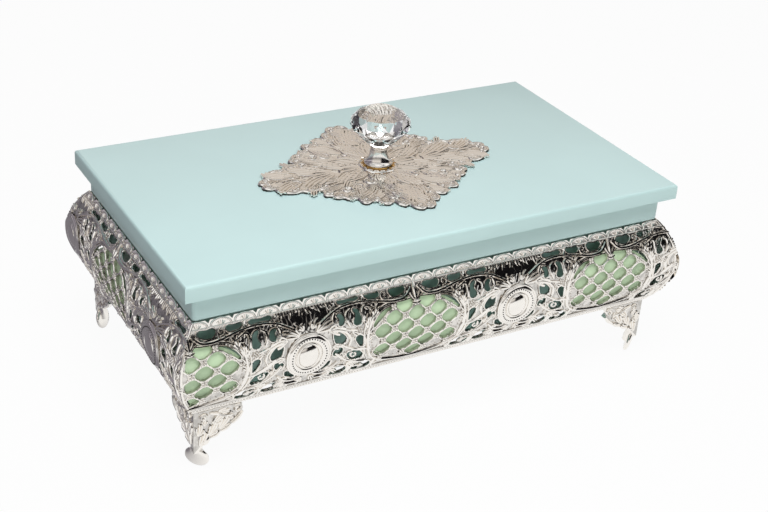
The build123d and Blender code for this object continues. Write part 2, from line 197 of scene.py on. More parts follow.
def add_line(curve, points, smooth, closed, steps=3):
    """Adds a line of (x, y, z, radius) to a curve, smooth or straight from point to point."""
    spline = curve.splines.new("BEZIER" if smooth else "POLY")
    row = spline.bezier_points if smooth else spline.points
    row.add(len(points) - 1)
    spline.use_cyclic_u = closed
    spline.resolution_u = steps
    for point, (x, y, z, radius) in zip(row, points):
        point.co = (x, y, z) if smooth else (x, y, z, 1)
        point.radius = radius
        if smooth:
            point.handle_left_type = point.handle_right_type = "AUTO"


def as_mesh(name, curve):
    """Turns a curve into a mesh."""
    new_object(name, curve)
    bpy.ops.object.convert(target="MESH")
    return bpy.context.object


def tube(lines, smooth=True, closed=False, sides=1, steps=3, twist="MINIMUM"):
    """Round strands along lines of (x, y, z, radius)."""
    curve = bpy.data.curves.new("tube", "CURVE")
    curve.dimensions = "3D"
    curve.bevel_depth = 1.0
    curve.bevel_resolution = sides
    curve.use_fill_caps = True
    curve.twist_mode = twist
    for line in lines:
        add_line(curve, line, smooth, closed, steps)
    return as_mesh("tube", curve)


def strokes(lines, height, flatness=0.7, sides=1, steps=3, closed=False):
    """Flattened strands along lines of (x, y, radius) on the flat pattern, their middle at that height."""
    raised = [[(x, y, 0, radius) for x, y, radius in line] for line in lines]
    piece = tube(raised, True, closed, sides, steps, "Z_UP")
    piece.data.transform(Matrix.Translation((0, 0, height)) @ Matrix.Diagonal((1, 1, flatness, 1)))
    return piece


def sheet_outline(name, outlines, rounded=()):
    """A flat sheet bounded by outlines of (x, y); those in rounded are smooth curves."""
    curve = bpy.data.curves.new(name, "CURVE")
    curve.dimensions = "2D"
    curve.fill_mode = "BOTH"
    for smooth, group in ((False, outlines), (True, rounded)):
        for outline in group:
            add_line(curve, [(x, y, 0, 1) for x, y in outline], smooth, True)
    return as_mesh(name, curve)


def trim(piece, point, direction):
    """Cuts away what lies beyond a plane."""
    edit(piece, ("bisect", {"plane_co": point, "plane_no": direction, "clear_outer": True}))


def bead(radius, height, rings=2, segments=8):
    """A low dome with its middle at the origin."""
    bpy.ops.mesh.primitive_uv_sphere_add(segments=segments, ring_count=2 * rings, radius=radius)
    dome = bpy.context.object
    trim(dome, (0, 0, -0.02 * radius), (0, 0, -1))
    dome.data.transform(Matrix.Diagonal((1, 1, height / radius, 1)))
    return dome


def turned(name, profile, segments=48):
    """A turned piece from a profile of (radius, height), spun about a vertical axis."""
    mesh = bpy.data.meshes.new(name)
    points = [(radius, 0, height) for radius, height in profile]
    mesh.from_pydata(points, [(i, i + 1) for i in range(len(points) - 1)], [])
    piece = new_object(name, mesh)
    edit(
        piece,
        ("spin", {"steps": segments, "angle": 2 * pi, "center": (0, 0, 0), "axis": (0, 0, 1)}),
        ("remove_doubles", {"threshold": 1e-4}),
        ("normals_make_consistent", {"inside": False}),
    )
    return piece


def block(low, high):
    """A plain block between two corners."""
    bpy.ops.mesh.primitive_cube_add(size=1, location=(Vector(low) + Vector(high)) / 2)
    piece = bpy.context.object
    piece.scale = Vector(high) - Vector(low)
    bpy.ops.object.transform_apply(location=True, rotation=True, scale=True)
    return piece


def slice_across(piece, drops):
    """Cuts a flat piece along lines of equal drop, so that it can bend."""
    edit(piece, *(("bisect", {"plane_co": (0, -drop, 0), "plane_no": (0, 1, 0)}) for drop in drops))


def bend_to(piece, face):
    """Bends a flat piece, drawn with X along and -Y down the arc, onto a side of the gallery."""
    flat = np.empty(len(piece.data.vertices) * 3)
    piece.data.vertices.foreach_get("co", flat)
    flat = flat.reshape(-1, 3)
    angle = (ARC_HALF + flat[:, 1]) / ARC_RADIUS
    reach = (ARC_RADIUS + flat[:, 2]) * np.cos(angle) - ARC_RADIUS * cos(ARC_HALF_ANGLE)
    height = GALLERY_MIDDLE + (ARC_RADIUS + flat[:, 2]) * np.sin(angle)
    bent = np.outer(flat[:, 0], face.along) + np.outer(face.distance + reach, face.out)
    bent[:, 2] += height
    piece.data.vertices.foreach_set("co", (bent * MM).ravel())
    piece.data.update()


def bulge_at(drop):
    """How far the gallery's face stands outside the rim line at that drop."""
    return ARC_RADIUS * (cos((ARC_HALF - drop) / ARC_RADIUS) - cos(ARC_HALF_ANGLE))


def kept_in(face, x, drop, margin):
    """That x, or the nearest one that is clear of the corners by the margin."""
    limit = face.half_span + bulge_at(drop) - margin
    return max(-limit, min(limit, x))


def places_along(face, spacing, offset, margin):
    """Places along a side in step with its pattern, up to that far beyond its corners."""
    count = int(RIM_LENGTH / spacing) + 2
    places = [face.phase + (step + offset) * spacing for step in range(-count, count + 1)]
    return [x for x in places if abs(x) < face.half_span + margin]


def oval(radius_x, radius_y, count, x=0.0, y=0.0):
    """Points evenly round an oval."""
    turns = [2 * pi * i / count for i in range(count)]
    return [(x + radius_x * cos(t), y + radius_y * sin(t)) for t in turns]


def flipped(points):
    """The points mirrored left to right."""
    return [(-x, *rest) for x, *rest in points]


def both_ways(lines):
    """The lines, and the same lines mirrored left to right."""
    return lines + [flipped(line) for line in lines]


def shifted(lines, distance):
    """The lines moved along the side."""
    return [[(x + distance, *rest) for x, *rest in line] for line in lines]


# Materials


def sheen_colour(text):
    """A colour written as six hex digits, in the linear values a shader takes."""
    values = [int(text[i : i + 2], 16) / 255 for i in (0, 2, 4)]
    return (*(v / 12.92 if v <= 0.04045 else ((v + 0.055) / 1.055) ** 2.4 for v in values), 1.0)


def shaded(colour, factor=1.0):
    """A colour made lighter or darker, as the four values a shader takes."""
    return (*(min(1.0, value * factor) for value in colour[:3]), 1.0)


def add_node(tree, kind, inputs=None, **settings):
    """Adds a node with its settings; each input is a value, or a node or output to link to it."""
    node = tree.nodes.new(kind)
    for key, value in settings.items():
        setattr(node, key, value)
    for key, value in (inputs or {}).items():
        if isinstance(value, bpy.types.Node):
            value = value.outputs[0]
        if isinstance(value, bpy.types.NodeSocket):
            tree.links.new(value, node.inputs[key])
        else:
            node.inputs[key].default_value = value
    return node


def texture(material, kind, **inputs):
    """A texture that stays with the object, its inputs named with _ for each space."""
    tree = material.node_tree
    place = add_node(tree, "ShaderNodeTexCoord").outputs["Object"]
    values = {key.replace("_", " "): value for key, value in inputs.items()}
    return add_node(tree, kind, {"Vector": place, **values})


def finish(name, colour, clouds=None, **inputs):
    """A Principled material, its inputs named with _ for each space, and its clouds given as for mottle."""
    material = bpy.data.materials.new(name)
    material.use_nodes = True
    shader = material.node_tree.nodes["Principled BSDF"]
    shader.inputs["Base Color"].default_value = shaded(colour)
    for key, value in inputs.items():
        shader.inputs[key.replace("_", " ")].default_value = value
    if clouds:
        mottle(material, colour, *clouds)
    return material


def mottle(material, colour, size_mm, spread, low=0.4, high=0.6, detail=3.0):
    """Varies a material's colour softly between a darker and a lighter tone."""
    tree = material.node_tree
    noise = texture(material, "ShaderNodeTexNoise", Scale=1 / (size_mm * MM), Detail=detail)
    ramp = add_node(tree, "ShaderNodeValToRGB", {"Fac": noise})
    tones = ((low, 1 - spread), (high, 1 + spread))
    for element, (position, factor) in zip(ramp.color_ramp.elements, tones):
        element.position = position
        element.color = shaded(colour, factor)
    tree.links.new(ramp.outputs["Color"], tree.nodes["Principled BSDF"].inputs["Base Color"])


def roughen(material, height, depth_mm, strength):
    """Unevenness of the surface, where a texture gives its height."""
    tree = material.node_tree
    inputs = {"Height": height, "Strength": strength, "Distance": depth_mm * MM}
    bump = add_node(tree, "ShaderNodeBump", inputs)
    tree.links.new(bump.outputs["Normal"], tree.nodes["Principled BSDF"].inputs["Normal"])


MOULD_WAVE, FLUTE_SPACING = 1.6, 2.4166
# A wave texture turns by that many radians for each unit of length and of scale.
WAVE_RADIANS = 20


def make_materials(settings):
    """Every finish of the box, by name."""
    silver = settings.silver_colour
    finishes = {
        # sprayed satin lacquer on fibreboard: a soft sheen, and hardly any change of tone over 60 mm
        "lid": finish(
            "mint_lacquer_lid", settings.lid_colour, (60, 0.012), Roughness=0.36, Coat_Weight=0.35
        ),
        # the same lacquer, a little flatter, its colour painted a little deeper to stand for the shade of
        # the gallery (painted shade)
        "box": finish(
            "mint_lacquer_box_painted_shade", settings.box_shaded_colour, (40, 0.02), Roughness=0.42, Coat_Weight=0.15
        ),
        # silver-plated zinc casting, buffed: mirror-bright, with the slight waves a mould leaves
        "bright": finish("silver_polished", silver, (6, 0.015), Metallic=1.0, Roughness=0.14),
        # the same plating on the ground between the relief, painted 30 % darker as painted shade, where
        # close flutes break up the mirror
        "ground": finish("silver_sheet_painted_shade", shaded(silver, 0.7), (3, 0.18), Metallic=1.0, Roughness=0.12),
        # tarnish left where no buffing wheel reaches: dark, dull and blotched every 3 mm; on the plate's low
        # edge the same dark stands in as painted shadow where the plate meets the lid
        "tarnish_and_shadow": finish(
            "silver_tarnish_and_painted_shadow", sheen_colour("4A4744"), (3, 0.25), Metallic=1.0, Roughness=0.35
        ),
        # green paper or felt behind the lattice: matt, cloudy every 9 mm
        "backing": finish(
            "green_mottled_backing", settings.backing_colour, (9, 0.12, 0.35, 0.65, 5.0), Roughness=0.7
        ),
        # lacquered brass, warm against the silver, with faint stains
        "brass": finish("brass_polished", sheen_colour("C9A15E"), (2, 0.1), Metallic=1.0, Roughness=0.2),
        # clear cut glass: no colour of its own, its sparkle comes from bending what lies behind it
        "crystal": finish(
            "cut_crystal", sheen_colour("FFFFFF"), (5, 0.01), Roughness=0.0, IOR=1.6, Transmission_Weight=1.0
        ),
        # plain zinc-plated steel of the hidden screws, dull and slightly patchy
        "steel": finish("steel_plain", sheen_colour("9A9A98"), (2, 0.08), Metallic=1.0, Roughness=0.35),
    }
    # shallow waves on what is buffed, and close leaf-like flutes on the ground
    waves = texture(finishes["bright"], "ShaderNodeTexNoise", Scale=1 / (MOULD_WAVE * MM))
    roughen(finishes["bright"], waves, 0.03, 0.3)
    scale = 2 * pi / (WAVE_RADIANS * FLUTE_SPACING * MM)
    flutes = texture(
        finishes["ground"], "ShaderNodeTexWave", Scale=scale, Distortion=9.0, Detail=1.5, Detail_Scale=1.2
    )
    roughen(finishes["ground"], flutes.outputs["Fac"], 0.26, 0.5)
    return finishes


MATERIALS = {}


def show(name, material):
    """Gives a solid of the frame its finish."""
    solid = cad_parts[name]
    solid.data.materials.clear()
    solid.data.materials.append(MATERIALS[material])


def dress(piece, body, material, slot, *nodes):
    """Gives a finished piece its material and body, in place of those solids; its slot is not used."""
    piece.data.materials.clear()
    piece.data.materials.append(MATERIALS[material])
    if nodes:
        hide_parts(*nodes)
    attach(piece, body)


def refinish(piece, material, wanted):
    """Gives another material to the faces that are wanted."""
    piece.data.materials.append(MATERIALS[material])
    for face in piece.data.polygons:
        face.material_index = int(wanted(face))


# The pattern, as outlines of (x, drop) and strands of (x, y, radius) with y = -drop

LATTICE_ROWS = [(-1, 1), (-2, 0, 2), (-3, -1, 1, 3), (-2, 0, 2), (-3, -1, 1, 3), (0,)]
WINDOW_MIDDLES = [(column * LATTICE_X, LATTICE_TOP + row * LATTICE_Y)
                  for row, columns in enumerate(LATTICE_ROWS) for column in columns]
WINDOW_QUARTER = [(4.5, 0.6), (4.0, 1.35), (2.7, 2.55), (1.0, 3.7)]
WINDOW_HALF = WINDOW_QUARTER + flipped(reversed(WINDOW_QUARTER))
WINDOW = WINDOW_HALF + [(x, -y) for x, y in reversed(WINDOW_HALF)]
SHOULDER = [(-23.9, 21.0), (-22.8, 17.4), (-19.4, 14.3), (-15.0, 12.6), (-12.9, 13.2), (-15.2, 14.9),
            (-17.9, 17.2), (-20.9, 19.2)]
SWAG_SLOTS = [
    [(4.9, 4.4), (9.0, 4.1), (13.8, 4.4), (12.8, 7.9), (9.4, 8.9), (5.7, 8.4)],
    [(18.6, 4.4), (22.8, 4.1), (26.9, 4.4), (25.6, 6.6), (22.4, 7.4), (19.4, 7.0)],
]
SCROLL_HOLES = [
    [(-27.9, 14.0), (-26.5, 9.9), (-23.6, 9.6), (-24.6, 12.7), (-23.2, 16.8), (-27.6, 17.6)],
    [(-19.1, 12.4), (-17.2, 10.3), (-15.0, 10.9), (-16.0, 13.2), (-15.4, 15.8), (-18.8, 16.0)],
    [(-19.5, 24.9), (-17.6, 19.9), (-13.2, 18.9), (-12.6, 21.6), (-14.2, 24.9)],
    [(-17.6, 27.4), (-12.9, 27.9), (-12.7, 31.0), (-15.9, 31.8)],
    [(-29.2, 33.9), (-20.6, 30.7), (-19.9, 33.2), (-28.2, 37.2)],
    [(-29.6, 27.0), (-27.4, 22.8), (-24.2, 23.4), (-25.2, 27.2), (-28.4, 29.8)],
    [(-12.3, 33.9), (-10.9, 33.0), (-5.8, 38.4), (-8.8, 38.6)],
    [(-34.9, 46.4), (-33.9, 41.0), (-25.8, 40.6), (-25.4, 46.4)],
    [(-21.6, 46.2), (-20.9, 40.3), (-13.8, 40.3), (-14.1, 46.2)],
    [(-27.9, 4.4), (-22.0, 4.2), (-16.4, 4.4), (-16.6, 6.0), (-22.0, 6.2), (-27.7, 6.0)],
]

# Metal left beside a corner, and the least share of an opening's width that has to clear it
SHEET_MARGIN, BACKING_MARGIN = 1.5, 2.2
LEAST_WINDOW, LEAST_HOLE = 0.5, 0.97
# The notches between the scallops of the rim, and the number of straight pieces in a sheet's curved end
NOTCH_HALF_WIDTH, NOTCH_TOP, NOTCH_DEPTH, NOTCH_MARGIN = 1.2, 0.1, 1.6, 2
END_PIECES = 30
BACKING_HALF_LENGTH, BACKING_HALF_HEIGHT, BACKING_DROP = 26.2, 17.0, 27.0
# Mouldings along a side: drop, radius
RAILS = ((3.5, 0.42), (47.4, 0.6), (49.3, 0.45), (51.6, 0.75), (ARC_LENGTH - 0.2, 0.5))
FAN_DROP, GADROON_DROP, GADROON_SPACING = 3.4, 50.5, 1.45
DOT_RING, DOT_COUNT, DOT_LIFT = 8.75, 40, 1.42
SEAM_RADIUS, SEAM_INSET, SEAM_MARGIN, SEAM_PIECES = 0.75, 0.15, 0.4, 16


def width_of(outline):
    """The width of an outline."""
    across = [x for x, drop in outline]
    return max(across) - min(across)


def openings_of(face):
    """The straight-sided windows and the smooth holes of a side, with metal left at the corners."""
    cartouche = [[(middle + x, drop + y) for x, y in WINDOW] for middle, drop in WINDOW_MIDDLES]
    windows, holes = [], []
    groups = (
        (cartouche, 0, LEAST_WINDOW, windows),
        (both_ways([SHOULDER]) + both_ways(SWAG_SLOTS), 0, LEAST_HOLE, holes),
        (both_ways(SCROLL_HOLES), PERIOD / 2, LEAST_HOLE, holes),
    )
    for middle in places_along(face, PERIOD, 0, PERIOD):
        for group, offset, least, found in groups:
            for outline in shifted(group, middle + offset):
                cut = [(kept_in(face, x, drop, SHEET_MARGIN), drop) for x, drop in outline]
                if width_of(cut) > least * width_of(outline):
                    found.append([(x, -drop) for x, drop in cut])
    return windows, holes


def gallery_sheet(side):
    """The pierced sheet of one side, scalloped at its rim, bent and given its thickness."""
    face = SIDES[side]
    drops = [ARC_LENGTH * i / END_PIECES for i in range(END_PIECES + 1)]
    right = [(face.half_span + bulge_at(drop), -drop) for drop in drops]
    rim = []
    for notch in places_along(face, SCALLOP, 0, -NOTCH_MARGIN):
        rim += [(notch - NOTCH_HALF_WIDTH, -NOTCH_TOP), (notch, -NOTCH_DEPTH),
                (notch + NOTCH_HALF_WIDTH, -NOTCH_TOP)]
    windows, holes = openings_of(face)
    sheet = sheet_outline(f"sheet_{side}", [right + flipped(reversed(right)) + rim, *windows], holes)
    slice_across(sheet, [BEND_STEP * i for i in range(1, int(ARC_LENGTH / BEND_STEP) + 1)])
    bend_to(sheet, face)
    thicken(sheet, SHEET_THICKNESS * MM)
    soften(sheet, 40)
    return sheet


def backing_patch(name, side):
    """The green sheet behind one cartouche, bent with the gallery and cut at the corner."""
    face = SIDES[side]
    low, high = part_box(name)
    near = (Vector(low) + Vector(high)).dot(face.along) / 2 / MM
    middle = face.phase + PERIOD * round((near - face.phase) / PERIOD)
    rim = oval(BACKING_HALF_LENGTH, BACKING_HALF_HEIGHT, 48, middle, -BACKING_DROP)
    patch = sheet_outline(f"green_{name}", [[(kept_in(face, x, -y, BACKING_MARGIN), y) for x, y in rim]])
    first_cut = BACKING_DROP - BACKING_HALF_HEIGHT + 0.5
    slice_across(patch, [first_cut + BEND_STEP * i for i in range(22)])
    lift(patch, -SHEET_THICKNESS - BACKING_GAP)
    bend_to(patch, face)
    thicken(patch, BACKING_THICKNESS * MM)
    soften(patch, 40)
    return patch


def rim_fan():
    """One scallop of the rim: a beaded arch over a ribbed fan, its foot at the origin."""
    arch = [(-5.0, 0.0, 0.42), (-4.3, 1.7, 0.46), (-2.4, 2.7, 0.5), (0, 3.1, 0.5)]
    arch += flipped(reversed(arch[:-1]))
    ribs = []
    for turn in (-56, -28, 0, 28, 56):
        t = radians(turn)
        ribs.append([(1.0 * sin(t), 0.4, 0.2), (2.6 * sin(t), 0.3 + 1.9 * cos(t), 0.34)])
    turns = [radians(turn) for turn in (20, 45, 68, 90, 112, 135, 160)]
    beads = copies(bead(0.42, 0.75, 1, 6), [(4.9 * cos(t), 3.2 * sin(t) - 0.15) for t in turns])
    return joined([strokes([arch], 0.25), strokes(ribs, 0.1, sides=0), beads])


# Along a leaf's rib: share of its length, share of its spread, radius
LEAF_RIB = ((0.0, 0.16, 0.4), (0.35, 0.55, 0.62), (0.72, 0.9, 0.85), (1.0, 1.0, 0.7))


def fluted_leaf(length, width, ribs, curl, plump, flatness):
    """A fluted leaf along +X from the origin: ribs side by side that fan out to rounded lobes."""
    lines = []
    for i in range(ribs):
        u = 2 * i / (ribs - 1) - 1
        tip = length * (1 - 0.42 * u * u)
        line = []
        for along, spread, radius in LEAF_RIB:
            x = along * tip
            line.append((x, width * u * spread + curl * x * x / length, radius * plump))
        lines.append(line)
    return strokes(lines, 0.1, flatness)


def spiral(x, y, radius, turns, start, hand=1, thick=0.75, thin=0.35, points=9):
    """A scroll that starts at that angle, in degrees, and winds in to (x, y)."""
    line = []
    for i in range(points):
        u = i / (points - 1)
        r = radius * (1 - 0.82 * u)
        t = radians(start) + hand * 2 * pi * turns * u
        line.append((x + r * cos(t), y + r * sin(t), thick * (1 - u) + thin * u))
    return line


def hoop(radius_x, radius_y, thick):
    """A closed strand round an oval."""
    return [(x, y, thick) for x, y in oval(radius_x, radius_y, 24)]


def medallion():
    """A ringed oval medallion with a polished dome, its middle at the origin."""
    ring = strokes([hoop(8.85, 8.85, 2.0)], 0.3, 0.62, 3, closed=True)
    rims = strokes([hoop(11.0, 11.0, 0.55), hoop(5.7, 6.6, 0.55)], 0.7, closed=True)
    dome = bead(5.3, 2.25, 8, 40)
    dome.data.transform(Matrix.Translation((0, 0, 0.1)) @ Matrix.Diagonal((1, 1.2, 1, 1)))
    return joined([ring, rims, bead(10.6, 0.6, 3, 48), dome])


def medallion_dots(side):
    """The dark punched dots on the rings of one side's medallions."""
    face = SIDES[side]
    ring = oval(DOT_RING, DOT_RING, DOT_COUNT)
    middles = places_along(face, PERIOD, 0.5, 0)
    places = [(middle + x, y - MEDALLION_DROP) for middle in middles for x, y in ring]
    dots = copies(bead(0.42, 0.3), places, f"medallion_dots_{side}")
    lift(dots, DOT_LIFT)
    bend_to(dots, face)
    return dots


def half_cartouche():
    """What lies right of a cartouche's middle line, as strands."""
    return [
        # frame: from the finial round the shoulder, down the flank and under to the middle
        [(2.2, -10.6, 0.5), (8.5, -11.2, 0.55), (15.5, -10.9, 0.6), (21.5, -13.6, 0.7),
         (25.2, -18.2, 0.8), (26.7, -24.5, 0.85), (26.2, -31.5, 0.85), (23.8, -37.4, 0.8),
         (18.6, -41.6, 0.75), (11.5, -43.9, 0.7), (5.0, -45.2, 0.7), (0.0, -45.4, 0.7)],
        [(19.5, -11.6, 0.4), (24.2, -14.2, 0.45), (27.9, -19.0, 0.45), (28.8, -26.0, 0.45),
         (28.0, -33.0, 0.4), (25.4, -39.2, 0.35)],
        # swag from the finial to the medallion's top
        [(1.8, -5.6, 0.75), (5.3, -9.3, 0.9), (10.0, -10.3, 0.95), (14.6, -9.9, 0.9),
         (19.2, -8.9, 0.8), (28.5, -7.2, 0.75), (37.0, -7.2, 0.75), (43.0, -8.6, 0.8),
         (46.5, -10.4, 0.8), (50.5, -12.6, 0.7)],
        [(2.9, -4.6, 0.35), (6.4, -7.6, 0.4), (10.2, -8.6, 0.4), (14.2, -8.2, 0.4)],
        # scroll that ends the swag, over the slot
        spiral(16.4, -6.3, 2.2, 1.1, 250, 1, 0.6, 0.3),
    ]


def lattice_flowers():
    """Small flowers where two bars of the lattice cross, inside the cartouche."""
    nodes = []
    for row in range(-1, 7):
        for column in range(-4, 5):
            x, drop = column * LATTICE_X, LATTICE_TOP + row * LATTICE_Y
            inside = (x / 26.0) ** 2 + ((drop - 27.5) / 17.4) ** 2 < 1.02
            if (row + column) % 2 == 0 and inside and drop > 11:
                nodes.append((x, -drop, 45, 1.0))
    petals = copies(bead(0.8, 0.7), oval(1.0, 1.0, 4))
    flowers = copies(joined([petals, bead(0.5, 1.1)]), nodes)
    lift(flowers, 0.35)
    return flowers


def lattice_rims():
    """Rims of the lattice windows and of the shoulders beside them."""
    grown = [(1.07 * x, 1.07 * y) for x, y in WINDOW[1::2]]
    rims = [[(middle + x, y - drop, 0.38) for x, y in grown] for middle, drop in WINDOW_MIDDLES]
    rims += both_ways([[(x, -drop, 0.4) for x, drop in SHOULDER]])
    return strokes(rims, 0.1, 1.0, steps=2, closed=True)


def half_scrolls():
    """Strands between a medallion's middle line and the cartouche to its left."""
    return [
        # slanting stems that rise from the foot of the cartouche to the medallion
        [(-30.5, -40.0, 0.6), (-24.0, -37.6, 0.75), (-17.5, -33.6, 0.8), (-13.6, -29.6, 0.7)],
        [(-31.0, -31.2, 0.6), (-24.8, -30.4, 0.7), (-19.6, -27.6, 0.75), (-16.6, -25.6, 0.6)],
        # hooked leaves below the swag
        [(-36.5, -12.5, 0.35), (-33.4, -10.6, 0.6), (-29.6, -9.6, 0.8), (-28.6, -13.0, 0.8),
         (-29.6, -17.6, 0.55), (-31.4, -20.6, 0.3)],
        [(-22.6, -9.4, 0.6), (-20.4, -11.0, 0.8), (-20.2, -14.4, 0.8), (-21.6, -17.6, 0.5)],
        [(-14.4, -9.6, 0.5), (-13.2, -12.4, 0.8), (-14.4, -16.2, 0.7), (-17.6, -18.0, 0.5),
         (-21.2, -19.2, 0.6), (-24.8, -20.0, 0.5)],
        # scrolls beside the medallion
        [(-11.6, -16.8, 0.6), (-13.2, -18.2, 0.8), (-16.4, -18.6, 0.8), (-20.0, -20.6, 0.75),
         (-21.6, -24.6, 0.7), (-20.4, -28.0, 0.5)],
        spiral(-24.0, -33.0, 2.1, 1.0, 60, -1, 0.65, 0.35),
        [(-33.4, -20.8, 0.4), (-31.0, -24.0, 0.6), (-30.6, -28.2, 0.7), (-32.6, -32.0, 0.5)],
        # foot of the medallion, and stems between the slots of the lower band
        [(-3.2, -39.4, 0.7), (-7.4, -40.6, 0.8), (-12.0, -39.0, 0.75), (-15.6, -35.4, 0.6)],
        [(-4.0, -43.6, 0.6), (-9.2, -43.4, 0.8), (-12.6, -41.4, 0.5)],
        [(-23.6, -46.8, 0.7), (-23.4, -43.0, 0.8), (-24.6, -39.6, 0.7)],
        [(-12.6, -46.8, 0.7), (-11.8, -43.6, 0.8), (-12.4, -40.6, 0.6)],
        [(-36.6, -46.8, 0.6), (-35.8, -43.4, 0.7), (-37.0, -40.6, 0.5)],
        # stem between the slots of the upper band
        [(-29.6, -4.0, 0.5), (-29.9, -5.6, 0.7), (-28.9, -7.4, 0.6)],
    ]


def medallion_leaves():
    """Sprays of leaves over, beside and under a medallion, for its left half."""
    big = copies(fluted_leaf(9.6, 2.7, 4, 0.25, 1.1, 1.15), [
        (-4.4, -16.6, 148, 0.95), (-10.4, -17.2, 177, 0.95), (-31.4, -20.8, 84, 0.8),
        (-10.0, -38.4, 205, 0.8),
    ])
    small = copies(fluted_leaf(5.4, 1.5, 3, 0.25, 0.95, 1.15), [
        (-2.2, -14.4, 118, 1.0), (-12.4, -26.0, 176, 0.9), (-22.4, -20.6, 190, 0.9),
        (-34.6, -15.4, 100, 1.1), (-21.0, -38.6, 205, 1.1), (-8.4, -44.8, 178, 1.1),
        (-31.0, -43.6, 10, 0.9), (-18.8, -33.6, 60, 0.8), (-26.4, -38.8, 20, 0.9),
        (-2.0, -41.0, 230, 0.9), (-30.2, -27.4, 120, 0.8), (-28.6, -7.6, 180, 0.9),
        (-12.6, -8.0, 176, 0.9),
    ])
    return joined([big, small])


def berry_places():
    """Clusters of berries between the cartouche and the medallion, for the left half."""
    cluster = [(0, 0), (1.25, 0.3), (0.5, 1.2), (-0.8, 0.9), (-1.2, -0.3), (-0.3, -1.2), (0.9, -0.95)]
    middles = [(-26.4, -20.6, 1.0), (-22.6, -22.0, 0.8), (-15.6, -25.9, 0.7), (-30.6, -22.4, 0.7),
               (-33.6, -36.6, 0.8), (-19.0, -36.8, 0.7), (-11.4, -31.6, 0.7), (-12.0, -14.4, 0.6),
               (-37.6, -43.9, 0.7)]
    return [(mx + x * size, my + y * size, 0, size) for mx, my, size in middles for x, y in cluster]


def hanging_leaf(x, y, length, lean, radii):
    """A short leaf that hangs from (x, y) and leans left at its tip."""
    middle = (x - lean[0], y - length * 0.6, radii[1])
    return [(x, y, radii[0]), middle, (x - lean[1], y - length, radii[2])]


def swag_fringe():
    """Short leaves that hang from the band over the dark ground, for the left half of a period."""
    lines = []
    for i in range(10):
        length = 2.6 + 1.2 * sin(1.9 * i + 0.6)
        lines.append(hanging_leaf(-0.7 - 1.5 * i, -4.0, length, (0.3, 0.9), (0.6, 0.5, 0.15)))
    for i in range(4):
        length = 1.9 + 0.8 * sin(1.7 * i)
        lines.append(hanging_leaf(-30.2 - 1.9 * i, -9.6, length, (0.5, 1.1), (0.45, 0.4, 0.12)))
    return lines


def period_relief():
    """The cast relief of half a period either side of a cartouche, its middle at x = 0."""
    half = PERIOD / 2
    lines = both_ways(half_cartouche()) + both_ways(shifted(half_scrolls() + swag_fringe(), half))
    rims = both_ways(SWAG_SLOTS) + both_ways(shifted(SCROLL_HOLES, half))
    rims = [[(x, -drop, 0.42) for x, drop in outline] for outline in rims]
    # finial at the top middle of the cartouche
    finial = [[(0, -3.6, 0.7), (0, -7.6, 1.0), (0, -11.8, 0.8), (0, -14.4, 0.4)],
              *both_ways([[(-2.6, -8.4, 0.4), (-1.5, -10.6, 0.7), (0, -12.0, 0.6)]]),
              [(-2.4, -12.9, 0.5), (0, -13.6, 0.8), (2.4, -12.9, 0.5)]]
    parts = [strokes(lines, 0.2, 0.95), strokes(rims, 0.15, 1.0, closed=True), strokes(finial, 0.4, 0.9)]
    parts += [lattice_rims(), lattice_flowers()]
    berries = [(x + half, *rest) for x, *rest in berry_places()]
    turns = [radians(-78 + i * 6.6) for i in range(26)]
    frame_beads = [(24.4 * cos(t), -27.6 + 15.0 * sin(t), 0, 0.55) for t in turns]
    frame_beads = [spot for spot in frame_beads if spot[1] < -16]
    berries += flipped(berries)
    berries += frame_beads + flipped(frame_beads)
    parts.append(copies(bead(0.72, 1.1), berries))
    leaves = medallion_leaves()
    leaves.data.transform(Matrix.Translation((half, 0, 0)))
    parts += [leaves, mirrored(leaves, (1, 0, 0)), copies(medallion(), [(half, -MEDALLION_DROP)])]
    return joined(parts)


def rails(face):
    """Mouldings that run the whole length of a side."""
    reach = face.half_span + 11
    count = 12
    lines = []
    for drop, radius in RAILS:
        lines.append([(-reach + 2 * reach * i / count, -drop, radius) for i in range(count + 1)])
    return strokes(lines, 0.15, 0.9, 2)


def gallery_relief(side, period):
    """All the relief of one side, trimmed to its mitred corners."""
    face = SIDES[side]
    periods = copies(period, [(x, 0) for x in places_along(face, PERIOD, 0, PERIOD / 2 + 24)], keep=True)
    fans = copies(rim_fan(), [(x, -FAN_DROP) for x in places_along(face, SCALLOP, 0.5, 4)])
    gadroon = bead(0.75, 0.7)
    gadroon.data.transform(Matrix.Diagonal((0.75, 1.35, 1, 1)))
    steps = int((face.half_span + 10) / GADROON_SPACING)
    gadroons = copies(gadroon, [(i * GADROON_SPACING, -GADROON_DROP) for i in range(-steps, steps + 1)])
    relief = joined([periods, fans, gadroons, rails(face)], f"relief_{side}")
    bend_to(relief, face)
    for sign in (-1, 1):
        corner = (face.along * sign * face.half_span + face.out * face.distance) * MM
        trim(relief, corner, (face.along * sign - face.out).normalized())
    soften(relief, 55)
    return relief


def corner_seam(corner):
    """The bright soldered seam down one corner of the gallery."""
    sx, sy = CORNERS[corner]
    line = []
    for i in range(SEAM_PIECES + 1):
        drop = SEAM_MARGIN + (ARC_LENGTH - 2 * SEAM_MARGIN) * i / SEAM_PIECES
        reach = bulge_at(drop) - SEAM_INSET
        height = GALLERY_MIDDLE + ARC_RADIUS * sin((ARC_HALF - drop) / ARC_RADIUS)
        line.append((sx * (RIM_LENGTH / 2 + reach), sy * (RIM_WIDTH / 2 + reach), height, SEAM_RADIUS))
    seam = tube([line], smooth=False, sides=2)
    seam.name = f"seam_{corner}"
    seat(seam, 0)
    soften(seam, 50)
    return seam


# The lid and its knob

# Radii of the lid board's upright corners and of its top and bottom edges
LID_CORNER, LID_TOP_EDGE, LID_BOTTOM_EDGE = 2.4, 1.7, 1.2
STEM_SEAT = 0.8


